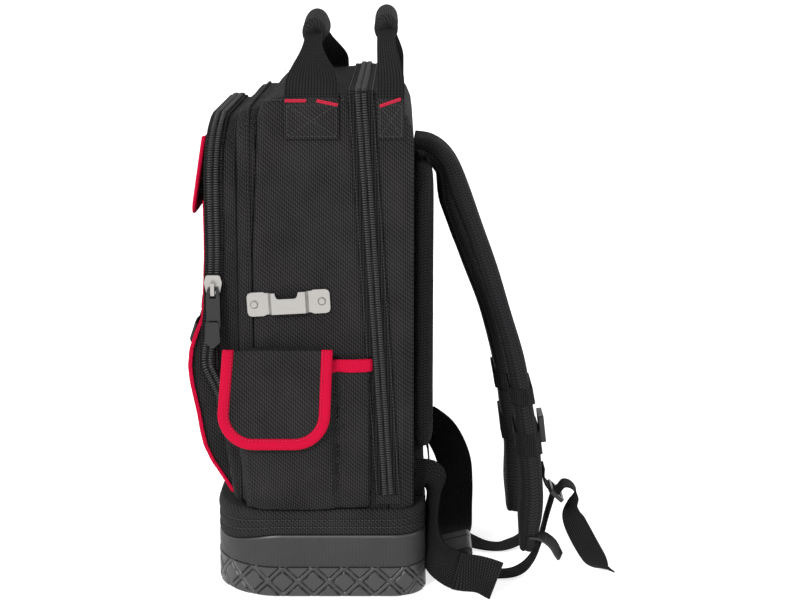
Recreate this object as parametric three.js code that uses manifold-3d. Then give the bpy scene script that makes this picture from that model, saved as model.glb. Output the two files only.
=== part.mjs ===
// Tool backpack with a moulded rubber base, built from separate sewn and moulded pieces.
// Millimetres, +Z up, +Y toward the wearer's back, +X the wearer's right hand side.
// The origin is the middle of the base's underside.
import * as THREE from 'three';
import { mergeVertices } from 'three/addons/utils/BufferGeometryUtils.js';
import Module from 'manifold-3d';

const wasm = await Module();
wasm.setup();

// Driving sizes: general
const GAP = 0.3;
const CLOTH = 2;
const WEBBING = 1.8;
const WEB_NARROW = 25;
const WEB_WIDE = 38;
const BINDING = 11;

// Driving sizes: rubber base and the cloth cuff above it
const TRAY_WIDTH = 330;
const TRAY_DEPTH = 207;
const TRAY_HEIGHT = 64;
const TRAY_WALL = 3;
const TRAY_FLOOR = 4;
const TRAY_FRONT_RADIUS = 66;
const TRAY_REAR_RADIUS = 33;
const TREAD_HEIGHT = 31.5;
const TREAD_PITCH = 30.4;
const TREAD_RELIEF = 1.8;
const TREAD_BAND = 5.6;
const BAND_DIP = 12;
const CUFF_HEIGHT = 26;
const CUFF_WALL = 2.6;
const CUFF_DIP = 22;

// Driving sizes: main compartment
const BODY_WIDTH = 316;
const BODY_DEPTH = 152;
const BODY_TOP = 491;
const BODY_REAR_SETBACK = 12.5;
const BODY_FRONT_LEAN = 8;
const BODY_TOP_FALL = 7;
const BODY_REAR_RADIUS = 46;
const BODY_EDGE = 7;
const ZIP_SETBACK = 49;
const ZIP_LEAN = 31;
const ZIP_TAPE_WIDTH = 24.4;
const ZIP_COIL_WIDTH = 11.4;
const ZIP_COIL_HEIGHT = 2.2;
const ZIP_TAPE = 1.2;
const ZIP_END_Z = 104;
const ZIP_TAB_HEIGHT = 10;

// Driving sizes: compartments on the front
const MID_WIDTH = 304;
const MID_DEPTH = 15;
const MID_TOP_DROP = 17;
const MID_RADIUS = 34;
const POCKET_WIDTH = 284;
const POCKET_DEPTH = 30;
const POCKET_TOP_DROP = 28;
const POCKET_RADIUS = 58;
const FRONT_ZIP_END_Z = 196;
const FRONT_ZIP_SETBACK = 9;
const LOWER_POCKET_MARGIN = 20;
const LOWER_POCKET_TOP = 387;
const LOWER_POCKET_BULGE = 35;
const LOWER_POCKET_FOOT = 84;
const UPPER_FLAP_MARGIN = 22;
const UPPER_FLAP_TOP = 445;
const UPPER_FLAP_HEIGHT = 77;
const UPPER_FLAP_STAND = 13;
const UPPER_FLAP_BINDING = 4.6;

// Driving sizes: side pockets, flaps and the tape clip
const SIDE_POCKET_LENGTH = 139;
const SIDE_POCKET_SETBACK = 40;
const SIDE_POCKET_TOP = 238;
const SIDE_POCKET_DEPTH = 20;
const SIDE_POCKET_SLANT = 16;
const SIDE_FLAP_TOP = 250;
const SIDE_FLAP_HEIGHT = 95;
const SIDE_FLAP_LENGTH = 108;
const SIDE_FLAP_SETBACK = 40;
const SIDE_FLAP_RADIUS = 34;
const SIDE_FLAP_STAND = 9;
const SIDE_FLAP_LEAN = 15;
const SIDE_FLAP_BINDING = 4.2;
const CLIP_LENGTH = 78;
const CLIP_HEIGHT = 23;
const CLIP_PLATE = 1.4;
const CLIP_SETBACK = 78;
const CLIP_BOTTOM = 280;
const CLIP_TILT = 3;
const CLIP_RISE = 5;
const RIVET_RADIUS = 4;

// Driving sizes: handles
const HANDLE_BASE_Z = 448;
const HANDLE_TOP = 549;
const HANDLE_FRONT_DROP = 4;
const HANDLE_FRONT_SETBACK = 94;
const HANDLE_FRONT_WIDTH = 50;
const HANDLE_REAR_SETBACK = 24.4;
const HANDLE_NECK = 17;
const GRIP_LENGTH = 124;
const GRIP_RADIUS = 12;
const GRIP_ARCH = 9;

// Driving sizes: carrying system
const PAD_TOP = 424;
const PAD_BOTTOM = 129;
const PAD_THICK = 19;
const PAD_WIDTH = 104;
const PAD_CHANNEL = 44;
const PAD_RADIUS = 26;
const STRAP_TOP = 436;
const STRAP_FALL = 413;
const STRAP_REACH = 112;
const STRAP_WIDTH = 70;
const STRAP_THICK = 22;
const STRAP_TOP_X = 62;
const STRAP_SPREAD = 44;
const FAR_STRAP_DROP = 27;
const FAR_STRAP_SWING = 52;
const FAR_STRAP_SAG = 14;
const STERNUM_Z = 146;
const ACCESSORY_Z = 193;
const LOCK_LENGTH = 17;
const LOCK_WIDTH = 34;
const LOCK_THICK = 4;
const STERNUM_LOOP_WIDTH = 22;
const ACCESSORY_LOOP_WIDTH = 16;
const STERNUM_BUCKLE_LENGTH = 27;
const STERNUM_BUCKLE_WIDTH = 32;
const STERNUM_BUCKLE_THICK = 5;
const BUCKLE_LENGTH = 46;
const BUCKLE_THICK = 11;
const BUCKLE_RIM = 4;

// Places worked out from the sizes
const TRAY_HALF = TRAY_WIDTH / 2;
const TRAY_FRONT = -TRAY_DEPTH / 2;
const TRAY_REAR = TRAY_DEPTH / 2;
const CUFF_TOP = TRAY_HEIGHT + CUFF_HEIGHT;
const BODY_HALF = BODY_WIDTH / 2;
const BODY_REAR = TRAY_REAR - BODY_REAR_SETBACK;
const BODY_FRONT = BODY_REAR - BODY_DEPTH;
const BODY_BOTTOM = TRAY_FLOOR + GAP;
const MID_FRONT = BODY_FRONT - MID_DEPTH;
const MID_TOP = BODY_TOP - MID_TOP_DROP;
const POCKET_TOP = BODY_TOP - POCKET_TOP_DROP;
const FRONT_BOTTOM = CUFF_TOP + GAP;
const ZIP_TOP_Y = BODY_REAR - ZIP_SETBACK;
const LOWER_POCKET_WIDTH = POCKET_WIDTH - 2 * LOWER_POCKET_MARGIN;
const UPPER_FLAP_WIDTH = POCKET_WIDTH - 2 * UPPER_FLAP_MARGIN;
const SIDE_POCKET_REAR = BODY_REAR - SIDE_POCKET_SETBACK;
const SIDE_FLAP_REAR = SIDE_POCKET_REAR - SIDE_FLAP_SETBACK;
const CLIP_REAR = BODY_REAR - CLIP_SETBACK;
const HANDLE_FRONT_Y = BODY_REAR - HANDLE_FRONT_SETBACK;
const HANDLE_REAR_Y = BODY_REAR - HANDLE_REAR_SETBACK;
const BEYOND = 900;
const X_AXIS = new THREE.Vector3(1, 0, 0);
const Y_AXIS = new THREE.Vector3(0, 1, 0);

const group = new THREE.Group();

// Colours of the real materials
const FINISH = {
  nylon: { color: 0x151516, roughness: 0.8, metalness: 0 },
  webbing: { color: 0x101011, roughness: 0.75, metalness: 0 },
  mesh: { color: 0x0e0e0f, roughness: 0.9, metalness: 0 },
  red: { color: 0xc4123a, roughness: 0.7, metalness: 0 },
  rubber: { color: 0x1e1f21, roughness: 0.6, metalness: 0 },
  plastic: { color: 0x0c0c0d, roughness: 0.35, metalness: 0 },
  steel: { color: 0xc9c7c2, roughness: 0.3, metalness: 1 },
};

function addPiece(name, solid, finish) {
  const geometry = toGeometry(withoutSlivers(solid));
  const mesh = new THREE.Mesh(geometry, new THREE.MeshStandardMaterial(FINISH[finish]));
  mesh.name = name;
  group.add(mesh);
}

// The solid without the crumbs that a cut leaves beside it
function withoutSlivers(solid) {
  const largest = (body) => body.decompose().sort((a, b) => b.volume() - a.volume())[0];
  const mesh = largest(solid).getMesh();
  mesh.merge();
  return largest(new wasm.Manifold(mesh));
}

// Rows of a table as objects with the named columns
function table(columns, rows) {
  return rows.map((row) => Object.fromEntries(columns.map((column, i) => [column, row[i]])));
}

// Rows filled in between with a smooth curve through every column
function smooth(rows, steps) {
  const filled = [];
  for (let i = 0; i < rows.length - 1; i += 1) {
    const before = rows[Math.max(i - 1, 0)];
    const after = rows[Math.min(i + 2, rows.length - 1)];
    for (let k = 0; k < steps; k += 1) {
      const t = k / steps;
      const row = {};
      for (const column of Object.keys(rows[i])) {
        const [a, b, c, d] = [before[column], rows[i][column], rows[i + 1][column], after[column]];
        const cubic = (3 * (b - c) + d - a) * t ** 3 + (2 * a - 5 * b + 4 * c - d) * t * t;
        row[column] = b + 0.5 * (cubic + (c - a) * t);
      }
      filled.push(row);
    }
  }
  filled.push({ ...rows[rows.length - 1] });
  return filled;
}

// Value of one column where another column holds the given value
function lookUp(rows, key, column, value) {
  const last = rows.length - 1;
  if (value <= rows[0][key]) return rows[0][column];
  if (value >= rows[last][key]) return rows[last][column];
  const i = rows.findIndex((row) => row[key] > value);
  const t = (value - rows[i - 1][key]) / (rows[i][key] - rows[i - 1][key]);
  return rows[i - 1][column] + t * (rows[i][column] - rows[i - 1][column]);
}

// Closed solid through loops of equally many points, with flat or laddered ends
function skin(loops, { ring = false, ladder = false } = {}) {
  const count = loops[0].length;
  const positions = loops.flat().flatMap((p) => [p.x, p.y, p.z]);
  const indices = [];
  const spans = ring ? loops.length : loops.length - 1;
  for (let i = 0; i < spans; i += 1) {
    const here = i * count;
    const next = ((i + 1) % loops.length) * count;
    for (let j = 0; j < count; j += 1) {
      const k = (j + 1) % count;
      indices.push(here + j, here + k, next + k, here + j, next + k, next + j);
    }
  }
  if (!ring) {
    for (const [row, flip] of [[0, true], [loops.length - 1, false]]) {
      for (const face of ladder ? ladderFaces(count) : flatFaces(loops[row])) {
        const [a, b, c] = face.map((index) => index + row * count);
        if (flip) indices.push(a, c, b);
        else indices.push(a, b, c);
      }
    }
  }
  return solidFrom(positions, indices);
}

function ladderFaces(count) {
  const faces = [];
  for (let i = 0; i < count / 2 - 1; i += 1) {
    const far = count - 1 - i;
    faces.push([i, i + 1, far - 1], [i, far - 1, far]);
  }
  return faces.filter(([a, b, c]) => a !== b && b !== c && a !== c);
}

function flatFaces(loop) {
  const normal = new THREE.Vector3();
  loop.forEach((p, i) => normal.add(p.clone().cross(loop[(i + 1) % loop.length])));
  normal.normalize();
  const u = Math.abs(normal.x) < 0.9 ? X_AXIS.clone() : Y_AXIS.clone();
  u.addScaledVector(normal, -u.dot(normal)).normalize();
  const v = normal.clone().cross(u);
  const flat = loop.map((p) => new THREE.Vector2(p.dot(u), p.dot(v)));
  return THREE.ShapeUtils.triangulateShape(flat, []);
}

function solidFrom(positions, indices) {
  let volume = 0;
  const at = (i) => new THREE.Vector3().fromArray(positions, i * 3);
  for (let i = 0; i < indices.length; i += 3) {
    volume += at(indices[i]).dot(at(indices[i + 1]).cross(at(indices[i + 2])));
  }
  const ordered = [];
  for (let i = 0; i < indices.length; i += 3) {
    const [a, b, c] = indices.slice(i, i + 3);
    if (volume < 0) ordered.push(a, c, b);
    else ordered.push(a, b, c);
  }
  const vertProperties = new Float32Array(positions);
  const triVerts = new Uint32Array(ordered);
  return new wasm.Manifold(new wasm.Mesh({ numProp: 3, vertProperties, triVerts }));
}

function toGeometry(solid) {
  const mesh = solid.getMesh();
  const geometry = new THREE.BufferGeometry();
  geometry.setAttribute('position', new THREE.BufferAttribute(new Float32Array(mesh.vertProperties), 3));
  geometry.setIndex(new THREE.BufferAttribute(new Uint32Array(mesh.triVerts), 1));
  geometry.computeVertexNormals();
  return geometry;
}

// A three.js primitive, turned and moved, as a solid
function primitive(geometry, place, turn = new THREE.Euler()) {
  const bare = geometry.index ? geometry.toNonIndexed() : geometry.clone();
  bare.deleteAttribute('normal');
  bare.deleteAttribute('uv');
  bare.applyMatrix4(new THREE.Matrix4().makeRotationFromEuler(turn));
  bare.translate(place.x, place.y, place.z);
  const merged = mergeVertices(bare, 1e-4);
  return solidFrom(Array.from(merged.attributes.position.array), Array.from(merged.index.array));
}

function block(x0, x1, y0, y1, z0, z1) {
  const place = new THREE.Vector3((x0 + x1) / 2, (y0 + y1) / 2, (z0 + z1) / 2);
  return primitive(new THREE.BoxGeometry(x1 - x0, y1 - y0, z1 - z0), place);
}

function mirrored(solid) {
  return solid.mirror([1, 0, 0]);
}

// Outline of straight sides and round corners, all moved inward by the inset.
// Corners run counter-clockwise as [u, v, radius, segments].
function outline(corners, inset = 0) {
  const count = corners.length;
  const side = (i) => {
    const [u0, v0] = corners[i];
    const [u1, v1] = corners[(i + 1) % count];
    const length = Math.hypot(u1 - u0, v1 - v0);
    const direction = [(u1 - u0) / length, (v1 - v0) / length];
    const normal = [-direction[1], direction[0]];
    return { start: [u0 + normal[0] * inset, v0 + normal[1] * inset], direction };
  };
  const points = [];
  for (let i = 0; i < count; i += 1) {
    const before = side((i + count - 1) % count);
    const after = side(i);
    const [, , radius, segments] = corners[i];
    const cross = before.direction[0] * after.direction[1] - before.direction[1] * after.direction[0];
    const du = after.start[0] - before.start[0];
    const dv = after.start[1] - before.start[1];
    const along = (du * after.direction[1] - dv * after.direction[0]) / cross;
    const apex = before.start.map((value, axis) => value + before.direction[axis] * along);
    const dot = before.direction[0] * after.direction[0] + before.direction[1] * after.direction[1];
    const bend = Math.atan2(cross, dot);
    const round = Math.max(radius - inset, 0.2);
    const cut = round * Math.tan(bend / 2);
    const start = apex.map((value, axis) => value - before.direction[axis] * cut);
    const centre = [start[0] - before.direction[1] * round, start[1] + before.direction[0] * round];
    const first = Math.atan2(start[1] - centre[1], start[0] - centre[0]);
    for (let k = 0; k <= segments; k += 1) {
      const angle = first + (bend * k) / segments;
      points.push([centre[0] + round * Math.cos(angle), centre[1] + round * Math.sin(angle)]);
    }
  }
  return points;
}

// Solid of a flat shape, from depth w0 to w1, put in space by the given function
function prism(points, w0, w1, toSpace) {
  return skin([w0, w1].map((w) => points.map(([u, v]) => toSpace(u, v, w))));
}

// Sections swept along rows that hold x, y, z, turn and width
function sweep(rows, sectionOf, reference = X_AXIS) {
  const places = rows.map((row) => new THREE.Vector3(row.x, row.y, row.z));
  const loops = rows.map((row, i) => {
    const ahead = places[Math.min(i + 1, rows.length - 1)];
    const tangent = ahead.clone().sub(places[Math.max(i - 1, 0)]).normalize();
    const side = reference.clone().addScaledVector(tangent, -reference.dot(tangent)).normalize();
    const other = tangent.clone().cross(side);
    const turn = THREE.MathUtils.degToRad(row.turn ?? 0);
    const across = side.clone().multiplyScalar(Math.cos(turn)).addScaledVector(other, Math.sin(turn));
    const normal = tangent.clone().cross(across);
    return sectionOf(row)
      .map(([u, v]) => places[i].clone().addScaledVector(across, u).addScaledVector(normal, v));
  });
  return skin(loops);
}

function flatSection(width, thickness) {
  const [u, v] = [width / 2, thickness / 2];
  return [[-u, -v], [u, -v], [u, v], [-u, v]];
}

function padSection(width, thickness) {
  const [u, v] = [width / 2, thickness / 2];
  const half = [[u - v * 0.9, -v], [u - v * 0.12, -v * 0.45], [u - v * 0.12, v * 0.45], [u - v * 0.9, v]];
  return [...half, ...half.map(([a, b]) => [-a, -b])];
}

function strip(rows, thickness, grow = 0, reference = X_AXIS) {
  return sweep(rows, (row) => flatSection(row.width + 2 * grow, thickness + 2 * grow), reference);
}

// Rubber base: a tray with a treaded foot, a smooth band and a lip that dips at the front
const TRAY_CORNERS = [
  [-TRAY_HALF, TRAY_FRONT, TRAY_FRONT_RADIUS, 7],
  [TRAY_HALF, TRAY_FRONT, TRAY_FRONT_RADIUS, 7],
  [TRAY_HALF, TRAY_REAR, TRAY_REAR_RADIUS, 4],
  [-TRAY_HALF, TRAY_REAR, TRAY_REAR_RADIUS, 4],
];

function frontShare(y) {
  const share = THREE.MathUtils.clamp((TRAY_FRONT + TRAY_FRONT_RADIUS - y) / TRAY_FRONT_RADIUS, 0, 1);
  return share * share * (3 - 2 * share);
}

function trayLoop(inset, z, dip) {
  return outline(TRAY_CORNERS, inset).map(([x, y]) => new THREE.Vector3(x, y, z - dip * frontShare(y)));
}

const TREAD_FOOT = 1.6;
const BAND_INSET = 0.6;
const LIP_INSET = 2;
const TRAY_ROWS = table(['inset', 'z', 'dip'], [
  [TREAD_RELIEF + TREAD_FOOT, 0, 0],
  [TREAD_RELIEF, TREAD_FOOT, 0],
  [TREAD_RELIEF, TREAD_HEIGHT, 0],
  [BAND_INSET, TREAD_HEIGHT + 0.8, 0],
  [BAND_INSET, TRAY_HEIGHT - 4, BAND_DIP * 0.9],
  [LIP_INSET, TRAY_HEIGHT, BAND_DIP],
  [LIP_INSET + TRAY_WALL, TRAY_HEIGHT, BAND_DIP],
  [LIP_INSET + TRAY_WALL, TRAY_FLOOR, 0],
]);

// Place on the base's outline at a distance along it, pushed out by the given amount
function trayWalk() {
  const loop = outline(TRAY_CORNERS, 0);
  const lengths = [0];
  loop.forEach(([x, y], i) => {
    const [nextX, nextY] = loop[(i + 1) % loop.length];
    lengths.push(lengths[i] + Math.hypot(nextX - x, nextY - y));
  });
  const total = lengths[loop.length];
  const at = (distance, out, z) => {
    const wrapped = ((distance % total) + total) % total;
    const i = lengths.findIndex((length) => length > wrapped) - 1;
    const [x0, y0] = loop[i];
    const [x1, y1] = loop[(i + 1) % loop.length];
    const t = (wrapped - lengths[i]) / (lengths[i + 1] - lengths[i]);
    const length = lengths[i + 1] - lengths[i];
    const [nx, ny] = [(y1 - y0) / length, -(x1 - x0) / length];
    return new THREE.Vector3(x0 + t * (x1 - x0) + nx * out, y0 + t * (y1 - y0) + ny * out, z);
  };
  return { total, at };
}

// Tread block, rooted in the tray's wall
const TREAD_ROOT = 1.2;

function treadBlock(walk, centre, corners) {
  const loops = [-TREAD_RELIEF - TREAD_ROOT, 0]
    .map((out) => corners.map(([along, z]) => walk.at(centre + along, out, z)));
  const positions = loops.flat().flatMap((p) => [p.x, p.y, p.z]);
  const indices = [0, 1, 2, 0, 2, 3, 4, 6, 5, 4, 7, 6];
  for (let j = 0; j < 4; j += 1) {
    const k = (j + 1) % 4;
    indices.push(j, j + 4, k + 4, j, k + 4, k);
  }
  return solidFrom(positions, indices);
}

function buildTray() {
  const base = skin(TRAY_ROWS.map(({ inset, z, dip }) => trayLoop(inset, z, dip)));
  const walk = trayWalk();
  const count = Math.round(walk.total / TREAD_PITCH);
  const pitch = walk.total / count;
  const half = (pitch - TREAD_BAND) / 2;
  const low = TREAD_FOOT;
  const high = TREAD_HEIGHT - 1;
  const middle = (low + high) / 2;
  const reach = (high - low - TREAD_BAND) / 2;
  const blocks = [];
  for (let i = 0; i < count; i += 1) {
    const diamond = (i + 0.5) * pitch;
    const crossing = i * pitch;
    blocks.push(treadBlock(walk, diamond,
      [[0, middle + reach], [-half, middle], [0, middle - reach], [half, middle]]));
    blocks.push(treadBlock(walk, crossing, [[0, high], [-half, high], [0, high - reach], [half, high]]));
    blocks.push(treadBlock(walk, crossing, [[0, low + reach], [-half, low], [0, low], [half, low]]));
  }
  return base.add(wasm.Manifold.union(blocks));
}

addPiece('base_tray', buildTray(), 'rubber');

// Cloth cuff: a thin rolled skirt that stands on the lip and turns in over the compartment
const CUFF_OUTSIDE = table(['inset', 'rise'], [
  [0.022, 0], [0.004, 0.38], [0.03, 0.82], [0.12, 1],
]);
const CUFF_HEM = 0.8 * CUFF_WALL;

function buildCuff() {
  const bottom = TRAY_HEIGHT + GAP;
  const height = CUFF_HEIGHT - GAP;
  const row = (inset, rise) => {
    const dip = THREE.MathUtils.lerp(BAND_DIP, CUFF_DIP, rise / height);
    return trayLoop(inset, bottom + rise, dip);
  };
  const outside = CUFF_OUTSIDE.map(({ inset, rise }) => row(inset * TRAY_DEPTH / 2, rise * height));
  const inside = CUFF_OUTSIDE.slice(0, -1).map(({ inset, rise }, i) => {
    const sink = i < 1 ? 0 : CUFF_WALL * 0.6;
    return row(inset * TRAY_DEPTH / 2 + CUFF_WALL, Math.max(rise * height - sink, 0));
  });
  const mouth = CUFF_OUTSIDE[CUFF_OUTSIDE.length - 1].inset * TRAY_DEPTH / 2;
  return skin([...outside, row(mouth, height - CUFF_HEM), ...inside.reverse()], { ring: true });
}

// Main compartment, seen from the side: front, top with a fall to the front, round rear top
function bodyCorners() {
  return [
    [BODY_FRONT, BODY_BOTTOM, 12, 2],
    [BODY_REAR, BODY_BOTTOM, 10, 2],
    [BODY_REAR, BODY_TOP, BODY_REAR_RADIUS, 6],
    [ZIP_TOP_Y, BODY_TOP, 60, 1],
    [BODY_FRONT + BODY_FRONT_LEAN, BODY_TOP - BODY_TOP_FALL, 18, 3],
    [BODY_FRONT, BODY_BOTTOM + (BODY_TOP - BODY_BOTTOM) * 0.7, 200, 1],
  ];
}

function bodySolid(inset) {
  const half = BODY_HALF - inset;
  const rows = [[half, BODY_EDGE], [half - 0.25 * BODY_EDGE, 0.3 * BODY_EDGE], [half - BODY_EDGE, 0]];
  const all = [...rows, ...rows.map(([x, edge]) => [-x, edge]).reverse()];
  const side = skin(all.map(([x, edge]) => outline(bodyCorners(), inset + edge)
    .map(([y, z]) => new THREE.Vector3(x, y, z))));
  const plan = outline(TRAY_CORNERS, LIP_INSET + TRAY_WALL + GAP + inset);
  return side.intersect(prism(plan, -BEYOND, BEYOND, (x, y, z) => new THREE.Vector3(x, y, z)));
}

// Slab that follows the leaning zip line, from one offset behind it to another
function zipLineY(z) {
  return ZIP_TOP_Y + ZIP_LEAN * (BODY_TOP - z) / BODY_TOP;
}

function zipSlab(from, to, bottom, top) {
  const wide = TRAY_WIDTH;
  const corners = [[zipLineY(bottom) + from, bottom], [zipLineY(bottom) + to, bottom],
    [zipLineY(top) + to, top], [zipLineY(top) + from, top]];
  return skin([-wide, wide].map((x) => corners.map(([y, z]) => new THREE.Vector3(x, y, z))));
}

const bodyShell = bodySolid(0).subtract(bodySolid(CLOTH));
addPiece('body_front', bodyShell.intersect(zipSlab(-BEYOND, -GAP / 2, -10, BEYOND)), 'nylon');
addPiece('body_back', bodyShell.intersect(zipSlab(GAP / 2, BEYOND, -10, BEYOND)), 'nylon');
addPiece('base_cuff', buildCuff().subtract(bodySolid(-GAP)), 'nylon');

function buildMainZip() {
  const tape = bodySolid(-GAP - ZIP_TAPE).subtract(bodySolid(-GAP));
  const coil = bodySolid(-GAP - ZIP_COIL_HEIGHT).subtract(bodySolid(-GAP));
  const tapeBand = tape.intersect(zipSlab(-ZIP_TAPE_WIDTH / 2, ZIP_TAPE_WIDTH / 2, ZIP_END_Z, BEYOND));
  const coilBand = coil.intersect(zipSlab(-ZIP_COIL_WIDTH / 2, ZIP_COIL_WIDTH / 2, ZIP_END_Z, BEYOND));
  return tapeBand.add(coilBand);
}

function buildZipTab() {
  const skinOut = bodySolid(-GAP - ZIP_TAPE).subtract(bodySolid(-GAP));
  const half = ZIP_TAPE_WIDTH / 2;
  const low = ZIP_END_Z - ZIP_TAB_HEIGHT;
  const nearSide = block(0, BEYOND, -BEYOND, BEYOND, -BEYOND, BEYOND);
  return skinOut.intersect(zipSlab(-half, half, low, ZIP_END_Z - GAP)).intersect(nearSide);
}

const zipTab = buildZipTab();
addPiece('zip_end_near', zipTab, 'nylon');
addPiece('zip_end_far', mirrored(zipTab), 'nylon');

// A compartment on the front: an arched outline pushed forward to a curved front face
function archShape(half, bottom, top, radius, levels) {
  const side = top - radius - bottom;
  return { half, bottom, top, radius, levels: levels.map((share) => bottom + share * side) };
}

function archLoop({ half, bottom, top, radius, levels }, inset) {
  const right = half - inset;
  const round = Math.max(radius - inset, 1);
  const low = bottom + inset;
  const points = [[right, low], ...levels.map((z) => [right, z])];
  const steps = 5;
  for (let k = 0; k <= steps; k += 1) {
    const angle = (Math.PI / 2) * (k / steps);
    points.push([right - round + round * Math.cos(angle), top - inset - round + round * Math.sin(angle)]);
  }
  return [...points, ...points.map(([x, z]) => [-x, z]).reverse()];
}

const EDGE_ROWS = table(['depth', 'inset'], [[0, 0], [0.74, 0], [0.9, 0.18], [0.975, 0.5], [1, 1]]);

function frontSolid(arch, rear, faceAt, edge, inset) {
  const loops = EDGE_ROWS.map((row) => archLoop(arch, inset + row.inset * edge).map(([x, z]) => {
    const face = faceAt(z) + inset;
    return new THREE.Vector3(x, rear + (face - rear) * row.depth, z);
  }));
  return skin(loops, { ladder: true });
}

const midArch = archShape(MID_WIDTH / 2, FRONT_BOTTOM, MID_TOP, MID_RADIUS, [0.4, 0.7]);
function midFace(z) {
  const share = THREE.MathUtils.clamp((z - BODY_TOP * 0.6) / (BODY_TOP * 0.4), 0, 1);
  return MID_FRONT + BODY_FRONT_LEAN * 0.2 * share;
}

function midSolid(inset) {
  return frontSolid(midArch, BODY_FRONT + BODY_DEPTH * 0.2, midFace, 10, inset);
}

// Middle compartment: a shallow shell whose rear is closed by the main compartment
addPiece('mid_compartment', midSolid(0).subtract(midSolid(CLOTH)).subtract(bodySolid(-GAP)), 'nylon');

// Zipped front pocket: its face by height, as shares of the bag's height and the pocket's depth
const POCKET_FACE = smooth(table(['height', 'depth'], [
  [0.187, 0.28], [0.26, 0.45], [0.33, 0.62], [0.39, 0.8], [0.435, 1.08], [0.47, 1.3],
  [0.53, 1.18], [0.61, 1.06], [0.7, 1], [0.8, 1.0], [0.9, 0.95], [0.96, 0.82],
]), 3);

function pocketFace(z) {
  return MID_FRONT - POCKET_DEPTH * lookUp(POCKET_FACE, 'height', 'depth', z / BODY_TOP);
}

const POCKET_LEVELS = [0.12, 0.25, 0.34, 0.42, 0.5, 0.62, 0.8];
const pocketArch = archShape(POCKET_WIDTH / 2, FRONT_BOTTOM, POCKET_TOP, POCKET_RADIUS, POCKET_LEVELS);

function pocketSolid(inset) {
  return frontSolid(pocketArch, MID_FRONT + MID_DEPTH * 0.5, pocketFace, 9, inset);
}

const frontShell = pocketSolid(0).subtract(pocketSolid(CLOTH));
addPiece('front_pocket', frontShell.subtract(midSolid(-GAP)).subtract(bodySolid(-GAP)), 'nylon');

// Zip of the front pocket: a coil on a tape that follows the arch a little behind the face
function buildFrontZip() {
  const half = ZIP_COIL_WIDTH / 2;
  const wide = half + 3;
  const tape = GAP + ZIP_TAPE;
  const coil = GAP + ZIP_COIL_HEIGHT;
  const profile = [[GAP, -wide], [GAP, wide], [tape, wide], [tape, half],
    [coil, half], [coil, -half], [tape, -half], [tape, -wide]];
  const rails = profile.map(([out, offset]) => {
    const loop = archLoop(pocketArch, -out);
    const above = loop.filter(([, z]) => z > FRONT_ZIP_END_Z + 4);
    const path = [[loop[0][0], FRONT_ZIP_END_Z], ...above, [-loop[0][0], FRONT_ZIP_END_Z]];
    return path.map(([x, z]) => new THREE.Vector3(x, pocketFace(z) + FRONT_ZIP_SETBACK + offset, z));
  });
  return skin(rails[0].map((_, i) => rails.map((rail) => rail[i])));
}

addPiece('front_zip', buildFrontZip(), 'webbing');

// Slider, pull and link of the front zip, hanging on the near side
const SLIDER_TOP = 318;
const SLIDER_LENGTH = 18;
const SLIDER_WIDTH = 17;
const SLIDER_THICK = 6;
const PULL_LENGTH = 44;
const PULL_WIDTH = 13;
const PULL_THICK = 2.4;
const PULL_PIN_RADIUS = 1.3;
const PULL_FORK = 3;
const LINK_LENGTH = 26;
const LINK_THICK = 1.8;
const BRIDGE_HALF = 1.8;
const sliderX = POCKET_WIDTH / 2 + GAP + ZIP_COIL_HEIGHT + GAP;
const sliderY = pocketFace(SLIDER_TOP - SLIDER_LENGTH / 2) + FRONT_ZIP_SETBACK;
const hingeX = sliderX + SLIDER_THICK + 3;
const hingeZ = SLIDER_TOP - SLIDER_LENGTH * 0.72;

function plate(points, x0, x1, y0, z0) {
  return prism(points, x0, x1, (u, v, w) => new THREE.Vector3(w, y0 + u, z0 + v));
}

function buildSlider() {
  const width = SLIDER_WIDTH;
  const length = SLIDER_LENGTH;
  const body = plate(outline([[-width * 0.36, -length, 2, 2], [width * 0.36, -length, 2, 2],
    [width * 0.5, -length * 0.4, 3, 2], [width * 0.38, 0, 2, 2], [-width * 0.38, 0, 2, 2],
    [-width * 0.5, -length * 0.4, 3, 2]]), sliderX, sliderX + SLIDER_THICK, sliderY, SLIDER_TOP);
  const bridge = block(sliderX + SLIDER_THICK - 0.5, hingeX + 3.9, sliderY - BRIDGE_HALF,
    sliderY + BRIDGE_HALF, hingeZ - 5.4, hingeZ + 6.4);
  const eye = block(sliderX + SLIDER_THICK, hingeX + 2.1, sliderY - 3, sliderY + 3,
    hingeZ - 2.1, hingeZ + 2.6);
  return body.add(bridge.subtract(eye));
}

addPiece('front_zip_slider', buildSlider(), 'steel');

// The pull forks round the slider's bridge and turns on a round pin between its arms
function buildPull() {
  const width = PULL_WIDTH / 2;
  const neck = width * 0.75;
  const shape = outline([[-width, -PULL_LENGTH + 4, 3, 2], [width, -PULL_LENGTH + 4, 3, 2],
    [width, -6, 3, 2], [neck, 1.4, 1.2, 2], [-neck, 1.4, 1.2, 2], [-width, -6, 3, 2]]);
  const x0 = hingeX - PULL_THICK / 2;
  const x1 = hingeX + PULL_THICK / 2;
  const body = plate(shape, x0, x1, sliderY, hingeZ);
  const window = (low, high, half) => block(x0 - 1, x1 + 1, sliderY - half, sliderY + half,
    hingeZ + low, hingeZ + high);
  const fork = window(-8.5, 3, PULL_FORK);
  const lower = window(-PULL_LENGTH + 6.4, -PULL_LENGTH + 14, width * 0.6);
  const hinge = new THREE.Vector3(hingeX, sliderY, hingeZ);
  const rod = new THREE.CylinderGeometry(PULL_PIN_RADIUS, PULL_PIN_RADIUS, 2 * neck - 1, 16);
  const pin = primitive(rod, hinge);
  return body.subtract(fork).subtract(lower).add(pin);
}

addPiece('front_zip_pull', buildPull(), 'plastic');

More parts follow.
